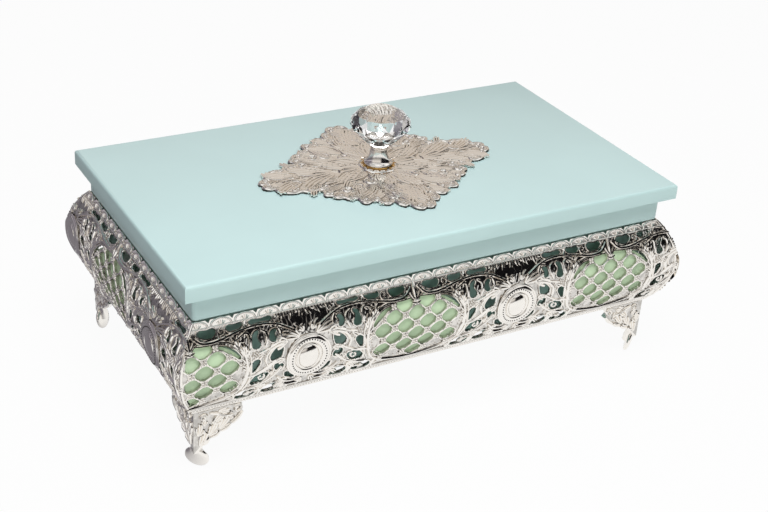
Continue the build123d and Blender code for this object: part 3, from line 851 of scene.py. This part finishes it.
def lid_board():
    """The lid's board with its rounded corners and edges."""
    half_x, half_y = LID_LENGTH / 2, LID_WIDTH / 2
    board = block((-half_x, -half_y, LID_BOTTOM), (half_x, half_y, LID_TOP))
    board.name = "lid_board_lacquered"
    bpy.ops.object.mode_set(mode="EDIT")
    middle = (LID_BOTTOM + LID_TOP) / 2
    rounds = (
        (LID_CORNER, 6, lambda ends: (ends[0].co.z - middle) * (ends[1].co.z - middle) < 0),
        (LID_TOP_EDGE, 4, lambda ends: all(abs(end.co.z - LID_TOP) < 1e-3 for end in ends)),
        (LID_BOTTOM_EDGE, 4, lambda ends: all(abs(end.co.z - LID_BOTTOM) < 1e-3 for end in ends)),
    )
    for radius, segments, wanted in rounds:
        bpy.ops.mesh.select_all(action="DESELECT")
        for edge in bmesh.from_edit_mesh(board.data).edges:
            edge.select = wanted(edge.verts)
        bmesh.update_edit_mesh(board.data)
        bpy.ops.mesh.bevel(offset=radius, segments=segments, affect="EDGES")
    bpy.ops.object.mode_set(mode="OBJECT")
    seat(board, 0)
    soften(board, 35)
    return board


# A quarter of the plate's outline, as shares of its half length and half width
PLATE_HALF_LENGTH, PLATE_HALF_WIDTH = 65.8, 51.4
PLATE_CONTOUR = [
    (0.955, 0.0), (0.985, 0.012), (1.0, 0.047), (0.965, 0.097), (0.922, 0.108), (0.92, 0.15),
    (0.878, 0.22), (0.806, 0.253), (0.752, 0.245), (0.711, 0.285), (0.602, 0.285), (0.605, 0.362),
    (0.623, 0.407), (0.577, 0.44), (0.556, 0.502), (0.51, 0.514), (0.48, 0.568), (0.425, 0.562),
    (0.41, 0.615), (0.404, 0.695), (0.358, 0.695), (0.31, 0.668), (0.286, 0.73), (0.258, 0.786),
    (0.212, 0.782), (0.18, 0.745), (0.17, 0.813), (0.143, 0.883), (0.1, 0.868), (0.088, 0.942),
    (0.043, 1.0), (0.0, 0.98),
]
# Fluted leaves of a quarter of the plate: foot x, y, way in degrees, size, hand
PLATE_LEAVES = [
    (10.0, 1.0, 8, 1.25, 1), (8.5, 5.5, 34, 1.15, -1), (5.0, 8.6, 62, 1.15, 1), (1.0, 9.6, 86, 1.2, -1),
    (26.0, 1.2, 2, 1.3, 1), (24.5, 6.8, 24, 1.0, -1), (43.5, 2.6, 4, 1.1, 1), (38.0, 8.4, 30, 0.8, 1),
    (17.5, 13.6, 42, 1.0, 1), (27.5, 14.0, 34, 0.75, -1), (12.0, 18.8, 62, 1.05, -1),
    (18.0, 23.4, 52, 0.75, 1), (6.2, 22.6, 74, 1.05, 1), (10.2, 30.4, 66, 0.75, -1),
    (1.4, 25.6, 84, 1.15, 1), (1.2, 39.2, 84, 0.7, 1), (50.6, 3.2, 16, 0.6, -1),
    (24.6, 22.4, 30, 0.6, 1), (31.0, 19.6, 60, 0.5, -1), (33.6, 3.6, 22, 0.8, -1),
    (7.4, 36.4, 80, 0.6, 1), (4.0, 15.6, 50, 0.8, 1), (16.4, 6.8, 20, 0.9, 1),
]
# Scrolls along its edge: middle x, y, radius, start in degrees, hand
PLATE_SCROLLS = [
    (61.6, 2.2, 2.5, -100, 1), (57.8, 6.8, 2.4, 60, -1), (50.4, 10.0, 2.7, -60, 1),
    (44.0, 11.8, 2.2, 200, -1), (37.6, 18.2, 2.5, 200, -1), (33.6, 23.8, 2.4, -20, 1),
    (27.6, 27.4, 2.3, 190, -1), (24.4, 32.6, 2.4, 0, 1), (18.4, 33.6, 2.1, 100, -1),
    (15.6, 37.8, 2.2, 180, -1), (9.0, 42.0, 2.1, 10, 1), (2.6, 47.6, 2.2, 60, 1),
]
# Curls between the leaves: middle x, y, start in degrees, hand
PLATE_CURLS = [
    (19.0, 8.6, 200, 1), (33.0, 7.0, 150, -1), (12.6, 14.6, 240, -1), (27.6, 19.6, 90, 1),
    (6.2, 19.4, 300, 1), (20.6, 19.0, 0, -1), (48.6, 4.6, 180, 1), (9.6, 33.6, 250, -1),
    (37.0, 12.6, 20, 1), (3.4, 33.0, 90, 1),
]


def lid_plate():
    """The leaf plate on the lid: a lobed sheet with fluted leaves and scrolls in relief."""
    quarter = [(PLATE_HALF_LENGTH * u, PLATE_HALF_WIDTH * v) for u, v in PLATE_CONTOUR]
    half = quarter + flipped(reversed(quarter[:-1]))
    plate = sheet_outline("plate_sheet", [], [half + [(x, -y) for x, y in reversed(half[1:-1])]])
    thicken(plate, PLATE_THICKNESS)
    lift(plate, PLATE_THICKNESS)
    parts = []
    for hand in (1, -1):
        frond = fluted_leaf(16.0, 4.7, 6, 0.4 * hand, 1.05, 1.05)
        parts.append(copies(frond, [spot for *spot, way in PLATE_LEAVES if way == hand]))
    scrolls = [spiral(x, y, radius, 1.1, start, hand, 1.0, 0.6)
               for x, y, radius, start, hand in PLATE_SCROLLS]
    scrolls += [spiral(x, y, 3.3, 1.4, start, hand, 1.1, 0.6) for x, y, start, hand in PLATE_CURLS]
    scrolls.append([(x * 0.985, y * 0.985, 0.85) for x, y in quarter])
    parts.append(strokes(scrolls, 0.1, 0.8))
    relief = joined(parts)
    lift(relief, 1.0)
    near = joined([relief, mirrored(relief, (1, 0, 0))])
    far = mirrored(near, (0, 1, 0))
    middle = turned("plate_seat", [(0, 2.2), (8.6, 2.2), (9.6, 1.9), (10.2, 1.2)])
    piece = joined([plate, near, far, middle], "lid_plate")
    seat(piece, LID_TOP)
    soften(piece, 60)
    return piece


# Rings of the cut crystal: height, radius, and turn as a share of a facet
CRYSTAL_RINGS = [(0.0, 5.2, 0.0), (4.6, 10.6, 0.5), (10.4, 15.6, 0.0), (13.0, 15.4, 0.5),
                 (16.6, 12.4, 0.0), (19.2, 7.6, 0.5)]
CRYSTAL_SIDES = 12


def crystal():
    """The cut crystal: rings of facets between a table, a girdle and a pointed base."""
    verts, faces = [], []
    for height, radius, turn in CRYSTAL_RINGS:
        turns = [2 * pi * (i + turn) / CRYSTAL_SIDES for i in range(CRYSTAL_SIDES)]
        verts += [(radius * cos(t), radius * sin(t), height) for t in turns]
    for ring in range(len(CRYSTAL_RINGS) - 1):
        low, high = ring * CRYSTAL_SIDES, (ring + 1) * CRYSTAL_SIDES
        turns_back = CRYSTAL_RINGS[ring][2] > CRYSTAL_RINGS[ring + 1][2]
        for i in range(CRYSTAL_SIDES):
            j = (i + 1) % CRYSTAL_SIDES
            if turns_back:
                faces += [(low + i, high + j, high + i), (low + i, low + j, high + j)]
            else:
                faces += [(low + i, low + j, high + i), (low + j, high + j, high + i)]
    faces.append(tuple(reversed(range(CRYSTAL_SIDES))))
    faces.append(tuple(range(len(verts) - CRYSTAL_SIDES, len(verts))))
    mesh = bpy.data.meshes.new("crystal")
    mesh.from_pydata(verts, [], faces)
    piece = new_object("crystal_knob", mesh)
    edit(piece, ("remove_doubles", {"threshold": 1e-6}), ("normals_make_consistent", {"inside": False}))
    seat(piece, CRYSTAL_SEAT)
    return piece


def knob_stem():
    """The turned stem, flared at its foot and cupped at its top."""
    profile = [(0, 0), (7.4, 0), (7.5, 0.5), (7.2, 0.9), (6.5, 1.2), (5.9, 1.9), (5.4, 3.0), (5.0, 4.3),
               (4.7, 5.6), (4.5, 6.9), (4.4, 8.0), (4.6, 9.0), (4.9, 9.4), (5.0, 9.9), (0, 9.9)]
    stem = turned("knob_stem_turned", profile)
    seat(stem, PLATE_TOP + STEM_SEAT)
    soften(stem, 50)
    return stem


def brass_ring():
    """The pointed brass ring under the stem."""
    feet, tips = oval(6.6, 6.6, 16), oval(9.2, 9.2, 16)
    points = [[(*foot, 0.8), (*tip, 0.25)] for foot, tip in zip(feet, tips)]
    disc = turned("ring_disc", [(2.4, 0.05), (7.6, 0.05), (7.9, 0.35), (7.6, 0.75), (2.4, 0.75)], 40)
    ring = joined([disc, strokes(points, 0.4, 0.5)], "brass_ring")
    seat(ring, PLATE_TOP)
    soften(ring, 40)
    return ring


# The feet

# Where the lobes of a wing's lower edge meet: distance from the corner, height
WING = [(24.0, 30.4), (25.0, 27.0), (19.0, 21.6), (13.5, 18.8), (8.4, 16.4), (4.6, 14.3)]
WING_TOP, WING_SWELL = 33.3, 1.1
TOE_TILT, TOE_INSET = 12, 2.5
# The height from which a wing's flat face counts as ground between the relief, painted darker as shade
WING_GROUND_FROM = 13


def wing_outline():
    """A foot's wing, as (distance from the corner, height)."""
    outline = [(0.12, 9.5), (0.12, WING_TOP), (24.0, WING_TOP), (24.4, 30.4)]
    for (ax, ay), (bx, by) in zip(WING, WING[1:]):
        dx, dy = bx - ax, by - ay
        length = hypot(dx, dy)
        for i in range(1, 6):
            u = i / 5
            swell = WING_SWELL * sin(pi * u) / length
            outline.append((ax + dx * u + dy * swell, ay + dy * u + dx * swell))
    return outline + [(3.4, 11.0), (3.0, 9.5)]


def foot_wing():
    """One wing of a foot with its leaf relief, X away from the corner, Y up, Z outwards."""
    sheet = sheet_outline("wing_sheet", [wing_outline()])
    thicken(sheet, WING_THICKNESS)
    lines = [
        spiral(21.8, 29.8, 2.5, 1.2, 140, -1, 0.95, 0.5),
        spiral(4.9, 28.9, 1.9, 1.2, 20, 1, 0.8, 0.45),
        [(2.4, 32.6, 0.6), (10.0, 32.7, 0.6), (17.0, 32.7, 0.6), (23.0, 32.3, 0.6)],
        [(19.6, 27.0, 0.6), (16.0, 27.6, 0.9), (12.0, 29.4, 0.9), (8.0, 30.6, 0.6)],
    ]
    # lobes along the lower edge
    for (ax, ay), (bx, by) in zip(WING[1:], WING[2:]):
        middle = ((ax + bx) / 2 + 0.1, (ay + by) / 2 + 0.4, 1.1)
        lines.append([(ax - 0.6, ay + 0.5, 0.7), middle, (bx, by + 0.7, 0.8)])
    leaves = copies(fluted_leaf(7.6, 2.6, 4, 0.3, 0.95, 1.3), [
        (3.0, 13.6, 50, 1.0), (2.2, 19.4, 64, 0.85), (7.4, 18.6, 42, 0.95), (12.6, 21.0, 34, 0.95),
        (9.4, 24.6, 20, 0.9), (17.0, 24.4, 48, 0.6), (12.4, 30.6, -24, 0.7), (5.4, 24.2, 80, 0.55),
    ])
    return joined([sheet, strokes(lines, 0.25, 1.2), leaves])


def foot_leg():
    """The short leg that joins the wings to the toe, at the corner ridge."""
    # distance from both faces of the corner, height, radius
    line = [(2.4, 30.0, 2.2), (2.4, 24.0, 2.3), (2.5, 18.0, 2.3), (2.6, 13.0, 2.3), (3.1, 9.5, 2.6),
            (3.5, 6.0, 2.4)]
    return tube([[(inset, inset, height, radius) for inset, height, radius in line]], sides=3, steps=4)


def foot_toe():
    """The round toe: a domed button with a moulded rim that faces out and a little down."""
    profile = [(0, 1.5), (2.0, 1.4), (3.6, 1.15), (5.0, 0.75), (5.8, 0.2), (6.05, -0.4), (5.8, -1.0),
               (5.2, -1.4), (0, -1.4)]
    toe = turned("toe_turned", profile, 40)
    tilt = radians(TOE_TILT)
    axis = Vector((-cos(tilt) / sqrt(2), -cos(tilt) / sqrt(2), -sin(tilt)))
    toe.data.transform(axis.to_track_quat("Z", "Y").to_matrix().to_4x4())
    lowest = min(vertex.co.z for vertex in toe.data.vertices)
    toe.data.transform(Matrix.Translation((TOE_INSET, TOE_INSET, -lowest)))
    return toe


def foot_piece(corner):
    """A whole foot at one corner of the box: two wings, a leg and a toe, a flange and a pad."""
    sx, sy = CORNERS[corner]
    stand = Matrix.Rotation(radians(90), 4, "X")
    front = foot_wing()
    front.data.transform(stand)
    side = foot_wing()
    side.data.transform(Matrix.Rotation(radians(-90), 4, "Z") @ stand @ Matrix.Scale(-1, 4, (1, 0, 0)))
    side.data.flip_normals()
    flange = block((0.1, 0.1, GALLERY_BOTTOM - 2), (21, 21, GALLERY_BOTTOM))
    pad = block((9.3, 9.3, WING_TOP), (21, 21, 35.0))
    foot = joined([front, side, foot_leg(), foot_toe(), flange, pad], f"cast_foot_{corner}")
    foot.data.transform(Matrix.Translation((-RIM_LENGTH / 2, -RIM_WIDTH / 2, 0)))
    foot.data.transform(Matrix.Diagonal((-sx * MM, -sy * MM, MM, 1)))
    if sx * sy < 0:
        foot.data.flip_normals()
    soften(foot, 45)
    return foot


def is_wing_ground(face):
    """Whether a face is the flat ground of a foot's wing."""
    upright = max(abs(face.normal.x), abs(face.normal.y)) > 0.999
    return upright and face.center.z > WING_GROUND_FROM * MM


# The stage

FRONT_LIGHT_SHARE = 0.19
# How much of white the camera and the metal see in the floor
FLOOR_TO_CAMERA, FLOOR_TO_METAL = 0.95, 0.9
# Sockets of a colour mix: share, first and second colour, result
SHARE, FIRST, SECOND, RESULT = 0, 6, 7, 2
# Tones of the room that the metal sees, by the height of the direction
ROOM = {
    "ahead": ((0.0, "FFFFFF"), (0.035, "121214"), (0.56, "161517"), (0.61, "FFFFFF"), (0.8, "FFFFFF"),
              (0.93, "8E8C8A")),
    "camera_side": ((0.0, "FFFFFF"), (0.06, "6E6A68"), (0.3, "E4E0DC"), (0.55, "D8D4D0"),
                    (0.64, "2A2829"), (0.76, "FFFFFF")),
    "behind": ((0.0, "E8E4E0"), (0.1, "4A4644"), (0.3, "D0C6BC"), (0.6, "D0C6BC"), (0.72, "4A4644"),
               (0.88, "FFFFFF")),
    "left_wall": ((0.0, "8E8A90"), (0.12, "1F1C23"), (0.28, "CFC9D3"), (0.42, "2A262E"), (0.58, "A39DA7"),
                  (0.72, "4A454E"), (0.88, "F0EEF0")),
}


def add_lamp(name, place, aim, size, power, tint):
    """A square soft light that the metal doesn't mirror."""
    bpy.ops.object.light_add(type="AREA", location=place)
    lamp = bpy.context.object
    lamp.name = name
    lamp.data.size = size
    lamp.data.energy = power
    lamp.data.color = tint
    lamp.visible_glossy = False
    lamp.rotation_euler = (Vector(aim) - Vector(place)).to_track_quat("-Z", "Y").to_euler()
    return lamp


def mirrored_rays(tree, rays):
    """A share that is 1 for what is seen in metal or through glass, and 0 for the rest."""
    kinds = {0: rays.outputs["Is Glossy Ray"], 1: rays.outputs["Is Transmission Ray"]}
    return add_node(tree, "ShaderNodeMath", kinds, operation="MAXIMUM")


def floor_material(colour):
    """A pale floor that the camera sees as white and that keeps the shadow."""
    material = finish("pale_floor", colour, Roughness=0.9)
    tree = material.node_tree
    rays = add_node(tree, "ShaderNodeLightPath")
    metal = mirrored_rays(tree, rays)
    to_metal = add_node(tree, "ShaderNodeMath", {0: metal, 1: FLOOR_TO_METAL}, operation="MULTIPLY")
    camera = rays.outputs["Is Camera Ray"]
    to_camera = add_node(tree, "ShaderNodeMath", {0: camera, 1: FLOOR_TO_CAMERA}, operation="MULTIPLY")
    share = add_node(tree, "ShaderNodeMath", {0: to_camera, 1: to_metal}, operation="MAXIMUM")
    # painted shadow: the floor left of the box is painted a darker grey, as shaded floor that only the metal
    # sees
    place = add_node(tree, "ShaderNodeTexCoord").outputs["Object"]
    split = add_node(tree, "ShaderNodeSeparateXYZ", {"Vector": place})
    painted_shadow = metal
    for axis, low, high in (("X", -0.115, -0.15), ("Y", -0.085, -0.06)):
        ends = {"Value": split.outputs[axis], "From Min": low, "From Max": high}
        edge = add_node(tree, "ShaderNodeMapRange", ends, interpolation_type="SMOOTHSTEP")
        painted_shadow = add_node(tree, "ShaderNodeMath", {0: painted_shadow, 1: edge}, operation="MULTIPLY")
    tones = {SHARE: painted_shadow, FIRST: (1, 1, 1, 1), SECOND: sheen_colour("6E6A73")}
    tone = add_node(tree, "ShaderNodeMix", tones, data_type="RGBA").outputs[RESULT]
    white = add_node(tree, "ShaderNodeEmission", {"Color": tone, "Strength": 1.0})
    mix = add_node(tree, "ShaderNodeMixShader", {0: share, 1: tree.nodes["Principled BSDF"], 2: white})
    tree.links.new(mix.outputs[0], tree.nodes["Material Output"].inputs["Surface"])
    return material


def make_world():
    """A surround that is white to the camera, even for soft light, and a studio room for the metal."""
    world = bpy.data.worlds.new("studio")
    bpy.context.scene.world = world
    world.use_nodes = True
    tree = world.node_tree
    tree.nodes.clear()
    place = add_node(tree, "ShaderNodeTexCoord").outputs["Generated"]
    split = add_node(tree, "ShaderNodeSeparateXYZ", {"Vector": place})
    tones = {}
    for name, stops in ROOM.items():
        ramp = add_node(tree, "ShaderNodeValToRGB", {"Fac": split.outputs["Z"]})
        tones[name] = ramp.outputs["Color"]
        while len(ramp.color_ramp.elements) < len(stops):
            ramp.color_ramp.elements.new(0.5)
        for element, (position, colour) in zip(ramp.color_ramp.elements, stops):
            element.position = position
            element.color = sheen_colour(colour)
    # a dark room to the front right, a striped wall on the left, a grey wall behind, bright overhead
    for name, axis, low, high, first, second in (
        ("rear", "X", 0.15, -0.2, "behind", "left_wall"),
        ("front", "X", 0.15, -0.2, "ahead", "camera_side"),
        ("around", "Y", -0.1, 0.3, "front", "rear"),
    ):
        ends = {"Value": split.outputs[axis], "From Min": low, "From Max": high}
        share = add_node(tree, "ShaderNodeMapRange", ends, interpolation_type="SMOOTHSTEP")
        pair = {SHARE: share, FIRST: tones[first], SECOND: tones[second]}
        tones[name] = add_node(tree, "ShaderNodeMix", pair, data_type="RGBA").outputs[RESULT]
    rays = add_node(tree, "ShaderNodeLightPath")
    pale = add_node(tree, "ShaderNodeBackground", {"Color": (1, 1, 1, 1), "Strength": 1.0})
    soft = add_node(tree, "ShaderNodeBackground", {"Color": (0.98, 0.99, 1, 1), "Strength": 0.32})
    metal = add_node(tree, "ShaderNodeBackground", {"Color": tones["around"], "Strength": 1.0})
    glossy = add_node(tree, "ShaderNodeMixShader", {0: mirrored_rays(tree, rays), 1: soft, 2: metal})
    seen = add_node(tree, "ShaderNodeMixShader", {0: rays.outputs["Is Camera Ray"], 1: glossy, 2: pale})
    add_node(tree, "ShaderNodeOutputWorld", {"Surface": seen})


def make_camera():
    """A camera where the photograph's stood, with its slight roll."""
    azimuth, elevation, roll = radians(-30.716), radians(28.943), radians(3.957)
    distance, shift_right, shift_down = 708.36, 3.156, 45.424
    focal_pixels, picture_pixels, sensor = 1385, 768, 36
    back = Vector((sin(azimuth) * cos(elevation), -cos(azimuth) * cos(elevation), sin(elevation)))
    right = (-back).cross(Vector((0, 0, 1))).normalized()
    up = right.cross(-back)
    across = cos(roll) * right + sin(roll) * up
    upward = -sin(roll) * right + cos(roll) * up
    place = back * distance + across * shift_right - upward * shift_down + Vector((0, 0, LID_TOP))
    data = bpy.data.cameras.new("camera")
    data.sensor_width = sensor
    data.lens = focal_pixels / picture_pixels * sensor
    camera = new_object("camera", data)
    turn = Matrix((across, upward, back)).transposed().to_4x4()
    camera.matrix_world = Matrix.Translation(place * MM) @ turn
    bpy.context.scene.camera = camera


# Settings, operators and panel


def colour_setting(name, description, hex_digits):
    """A colour that a user may change, its default written as six hex digits."""
    return bpy.props.FloatVectorProperty(
        name=name, description=description, subtype="COLOR", default=sheen_colour(hex_digits)[:3]
    )


class KeepsakeBoxSettings(bpy.types.PropertyGroup):
    """What a user may want to change."""

    floor_size: bpy.props.FloatProperty(
        name="Floor size", description="Width of the pale floor", default=6.0, unit="LENGTH"
    )
    key_power: bpy.props.FloatProperty(
        name="Key light", description="Power of the large soft light", default=9.2, unit="POWER"
    )
    lid_colour: colour_setting("Lid", "Lacquer of the lid", "B5CDCD")
    # the box's colour is the lid's lacquer painted a little deeper, as painted shade of the gallery
    box_shaded_colour: colour_setting("Box", "Lacquer of the box", "A6C8C1")
    silver_colour: colour_setting("Silver", "Plating of the castings", "F6F2EC")
    backing_colour: colour_setting("Backing", "Sheet behind the lattice", "BFD3B2")
    floor_colour: colour_setting("Floor", "Floor as the object sees it", "D2D2D2")


class KEEPSAKE_OT_materials(bpy.types.Operator):
    """Makes the finishes"""

    bl_idname = "keepsake.materials"
    bl_label = "Finishes"

    def execute(self, context):
        MATERIALS.update(make_materials(context.scene.keepsake_box))
        return {"FINISHED"}


class KEEPSAKE_OT_box(bpy.types.Operator):
    """Finishes the wooden box, its liner, its backings and its screws"""

    bl_idname = "keepsake.box"
    bl_label = "Wooden box"

    def execute(self, context):
        for side in SIDES:
            show(f"wall_{side}", "box")
            show(f"liner_{side}", "box")
        show("base_board", "box")
        for name in ("foot_screws", "knob_screw", "knob_washer"):
            show(name, "steel")
        for name in sorted(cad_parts):
            if name.startswith("backing_"):
                patch = backing_patch(name, name.split("_")[1])
                dress(patch, "box", "backing", "green_backing", name)
        return {"FINISHED"}


class KEEPSAKE_OT_gallery(bpy.types.Operator):
    """Models the pierced gallery with its relief"""

    bl_idname = "keepsake.gallery"
    bl_label = "Gallery"

    def execute(self, context):
        plain_from = (GALLERY_TOP - PLAIN_BAND) * MM
        period = period_relief()
        for side in SIDES:
            sheet = gallery_sheet(side)
            # painted shade: the sheet takes the darker ground silver, and its plain rim band keeps the
            # bright silver
            dress(sheet, "box", "ground", "silvered_metal", f"gallery_{side}")
            refinish(sheet, "bright", lambda face: face.center.z > plain_from)
            dress(medallion_dots(side), "box", "tarnish_and_shadow", "silvered_metal")
            dress(gallery_relief(side, period), "box", "bright", "silvered_metal")
        discard(period)
        for corner in CORNERS:
            dress(corner_seam(corner), "box", "bright", "silvered_metal")
        return {"FINISHED"}


class KEEPSAKE_OT_feet(bpy.types.Operator):
    """Models the four corner feet"""

    bl_idname = "keepsake.feet"
    bl_label = "Feet"

    def execute(self, context):
        for corner in CORNERS:
            foot = foot_piece(corner)
            dress(foot, "box", "bright", "silvered_metal", f"foot_{corner}")
            # painted shade: the wings' flat ground takes the darker ground silver
            refinish(foot, "ground", is_wing_ground)
        return {"FINISHED"}


class KEEPSAKE_OT_lid(bpy.types.Operator):
    """Models the lid board and its ornament"""

    bl_idname = "keepsake.lid"
    bl_label = "Lid"

    def execute(self, context):
        dress(lid_board(), "lid", "lid", "mint_lid", "lid_board")
        for side in SIDES:
            show(f"lid_rail_{side}", "lid")
        plate = lid_plate()
        dress(plate, "lid", "bright", "silvered_metal", "lid_ornament")
        # painted shadow: the plate's low upright edge faces take the dark tarnish, as the shadow where the
        # plate meets the lid
        sheet_top = (LID_TOP + 0.9) * MM
        refinish(plate, "tarnish_and_shadow", lambda face: abs(face.normal.z) < 0.1 and face.center.z < sheet_top)
        return {"FINISHED"}


class KEEPSAKE_OT_knob(bpy.types.Operator):
    """Models the crystal knob, its stem and brass ring"""

    bl_idname = "keepsake.knob"
    bl_label = "Knob"

    def execute(self, context):
        dress(crystal(), "lid", "crystal", "crystal", "knob_crystal")
        dress(knob_stem(), "lid", "bright", "silvered_metal", "knob_stem")
        dress(brass_ring(), "lid", "brass", "brass", "knob_rosette")
        return {"FINISHED"}


class KEEPSAKE_OT_stage(bpy.types.Operator):
    """Sets up the floor, lights, world and camera"""

    bl_idname = "keepsake.stage"
    bl_label = "Stage"

    def execute(self, context):
        settings = context.scene.keepsake_box
        bpy.ops.mesh.primitive_plane_add(size=settings.floor_size, location=(0, 0, 0))
        floor = context.object
        floor.name = "floor"
        floor.data.materials.append(floor_material(settings.floor_colour))
        power = settings.key_power
        key = add_lamp("key_light", (-0.12, -0.32, 0.95), (-0.02, 0, 0.05), 0.6, power, (1, 1, 1))
        power *= FRONT_LIGHT_SHARE
        front = add_lamp("front_light", (-0.15, -0.85, 0.25), (0, 0, 0.05), 0.5, power, (0.88, 1, 0.9))
        make_world()
        make_camera()
        context.scene.view_settings.view_transform = "Standard"
        return {"FINISHED"}


OPERATORS = (
    KEEPSAKE_OT_materials,
    KEEPSAKE_OT_box,
    KEEPSAKE_OT_gallery,
    KEEPSAKE_OT_feet,
    KEEPSAKE_OT_lid,
    KEEPSAKE_OT_knob,
    KEEPSAKE_OT_stage,
)


class KEEPSAKE_PT_panel(bpy.types.Panel):
    """Lists the settings and steps"""

    bl_label = "Keepsake Box"
    bl_idname = "KEEPSAKE_PT_panel"
    bl_space_type = "VIEW_3D"
    bl_region_type = "UI"
    bl_category = "Keepsake Box"

    def draw(self, context):
        settings = context.scene.keepsake_box
        for name in ("lid_colour", "box_shaded_colour", "silver_colour", "backing_colour",
                     "floor_colour", "floor_size", "key_power"):
            self.layout.prop(settings, name)
        for operator in OPERATORS:
            self.layout.operator(operator.bl_idname)


CLASSES = (KeepsakeBoxSettings, *OPERATORS, KEEPSAKE_PT_panel)


def register():
    for item in CLASSES:
        bpy.utils.register_class(item)
    bpy.types.Scene.keepsake_box = bpy.props.PointerProperty(type=KeepsakeBoxSettings)


def unregister():
    del bpy.types.Scene.keepsake_box
    for item in reversed(CLASSES):
        bpy.utils.unregister_class(item)


def main():
    register()
    bpy.ops.keepsake.materials()
    bpy.ops.keepsake.box()
    bpy.ops.keepsake.gallery()
    bpy.ops.keepsake.feet()
    bpy.ops.keepsake.lid()
    bpy.ops.keepsake.knob()
    bpy.ops.keepsake.stage()


if __name__ == "__main__":
    main()
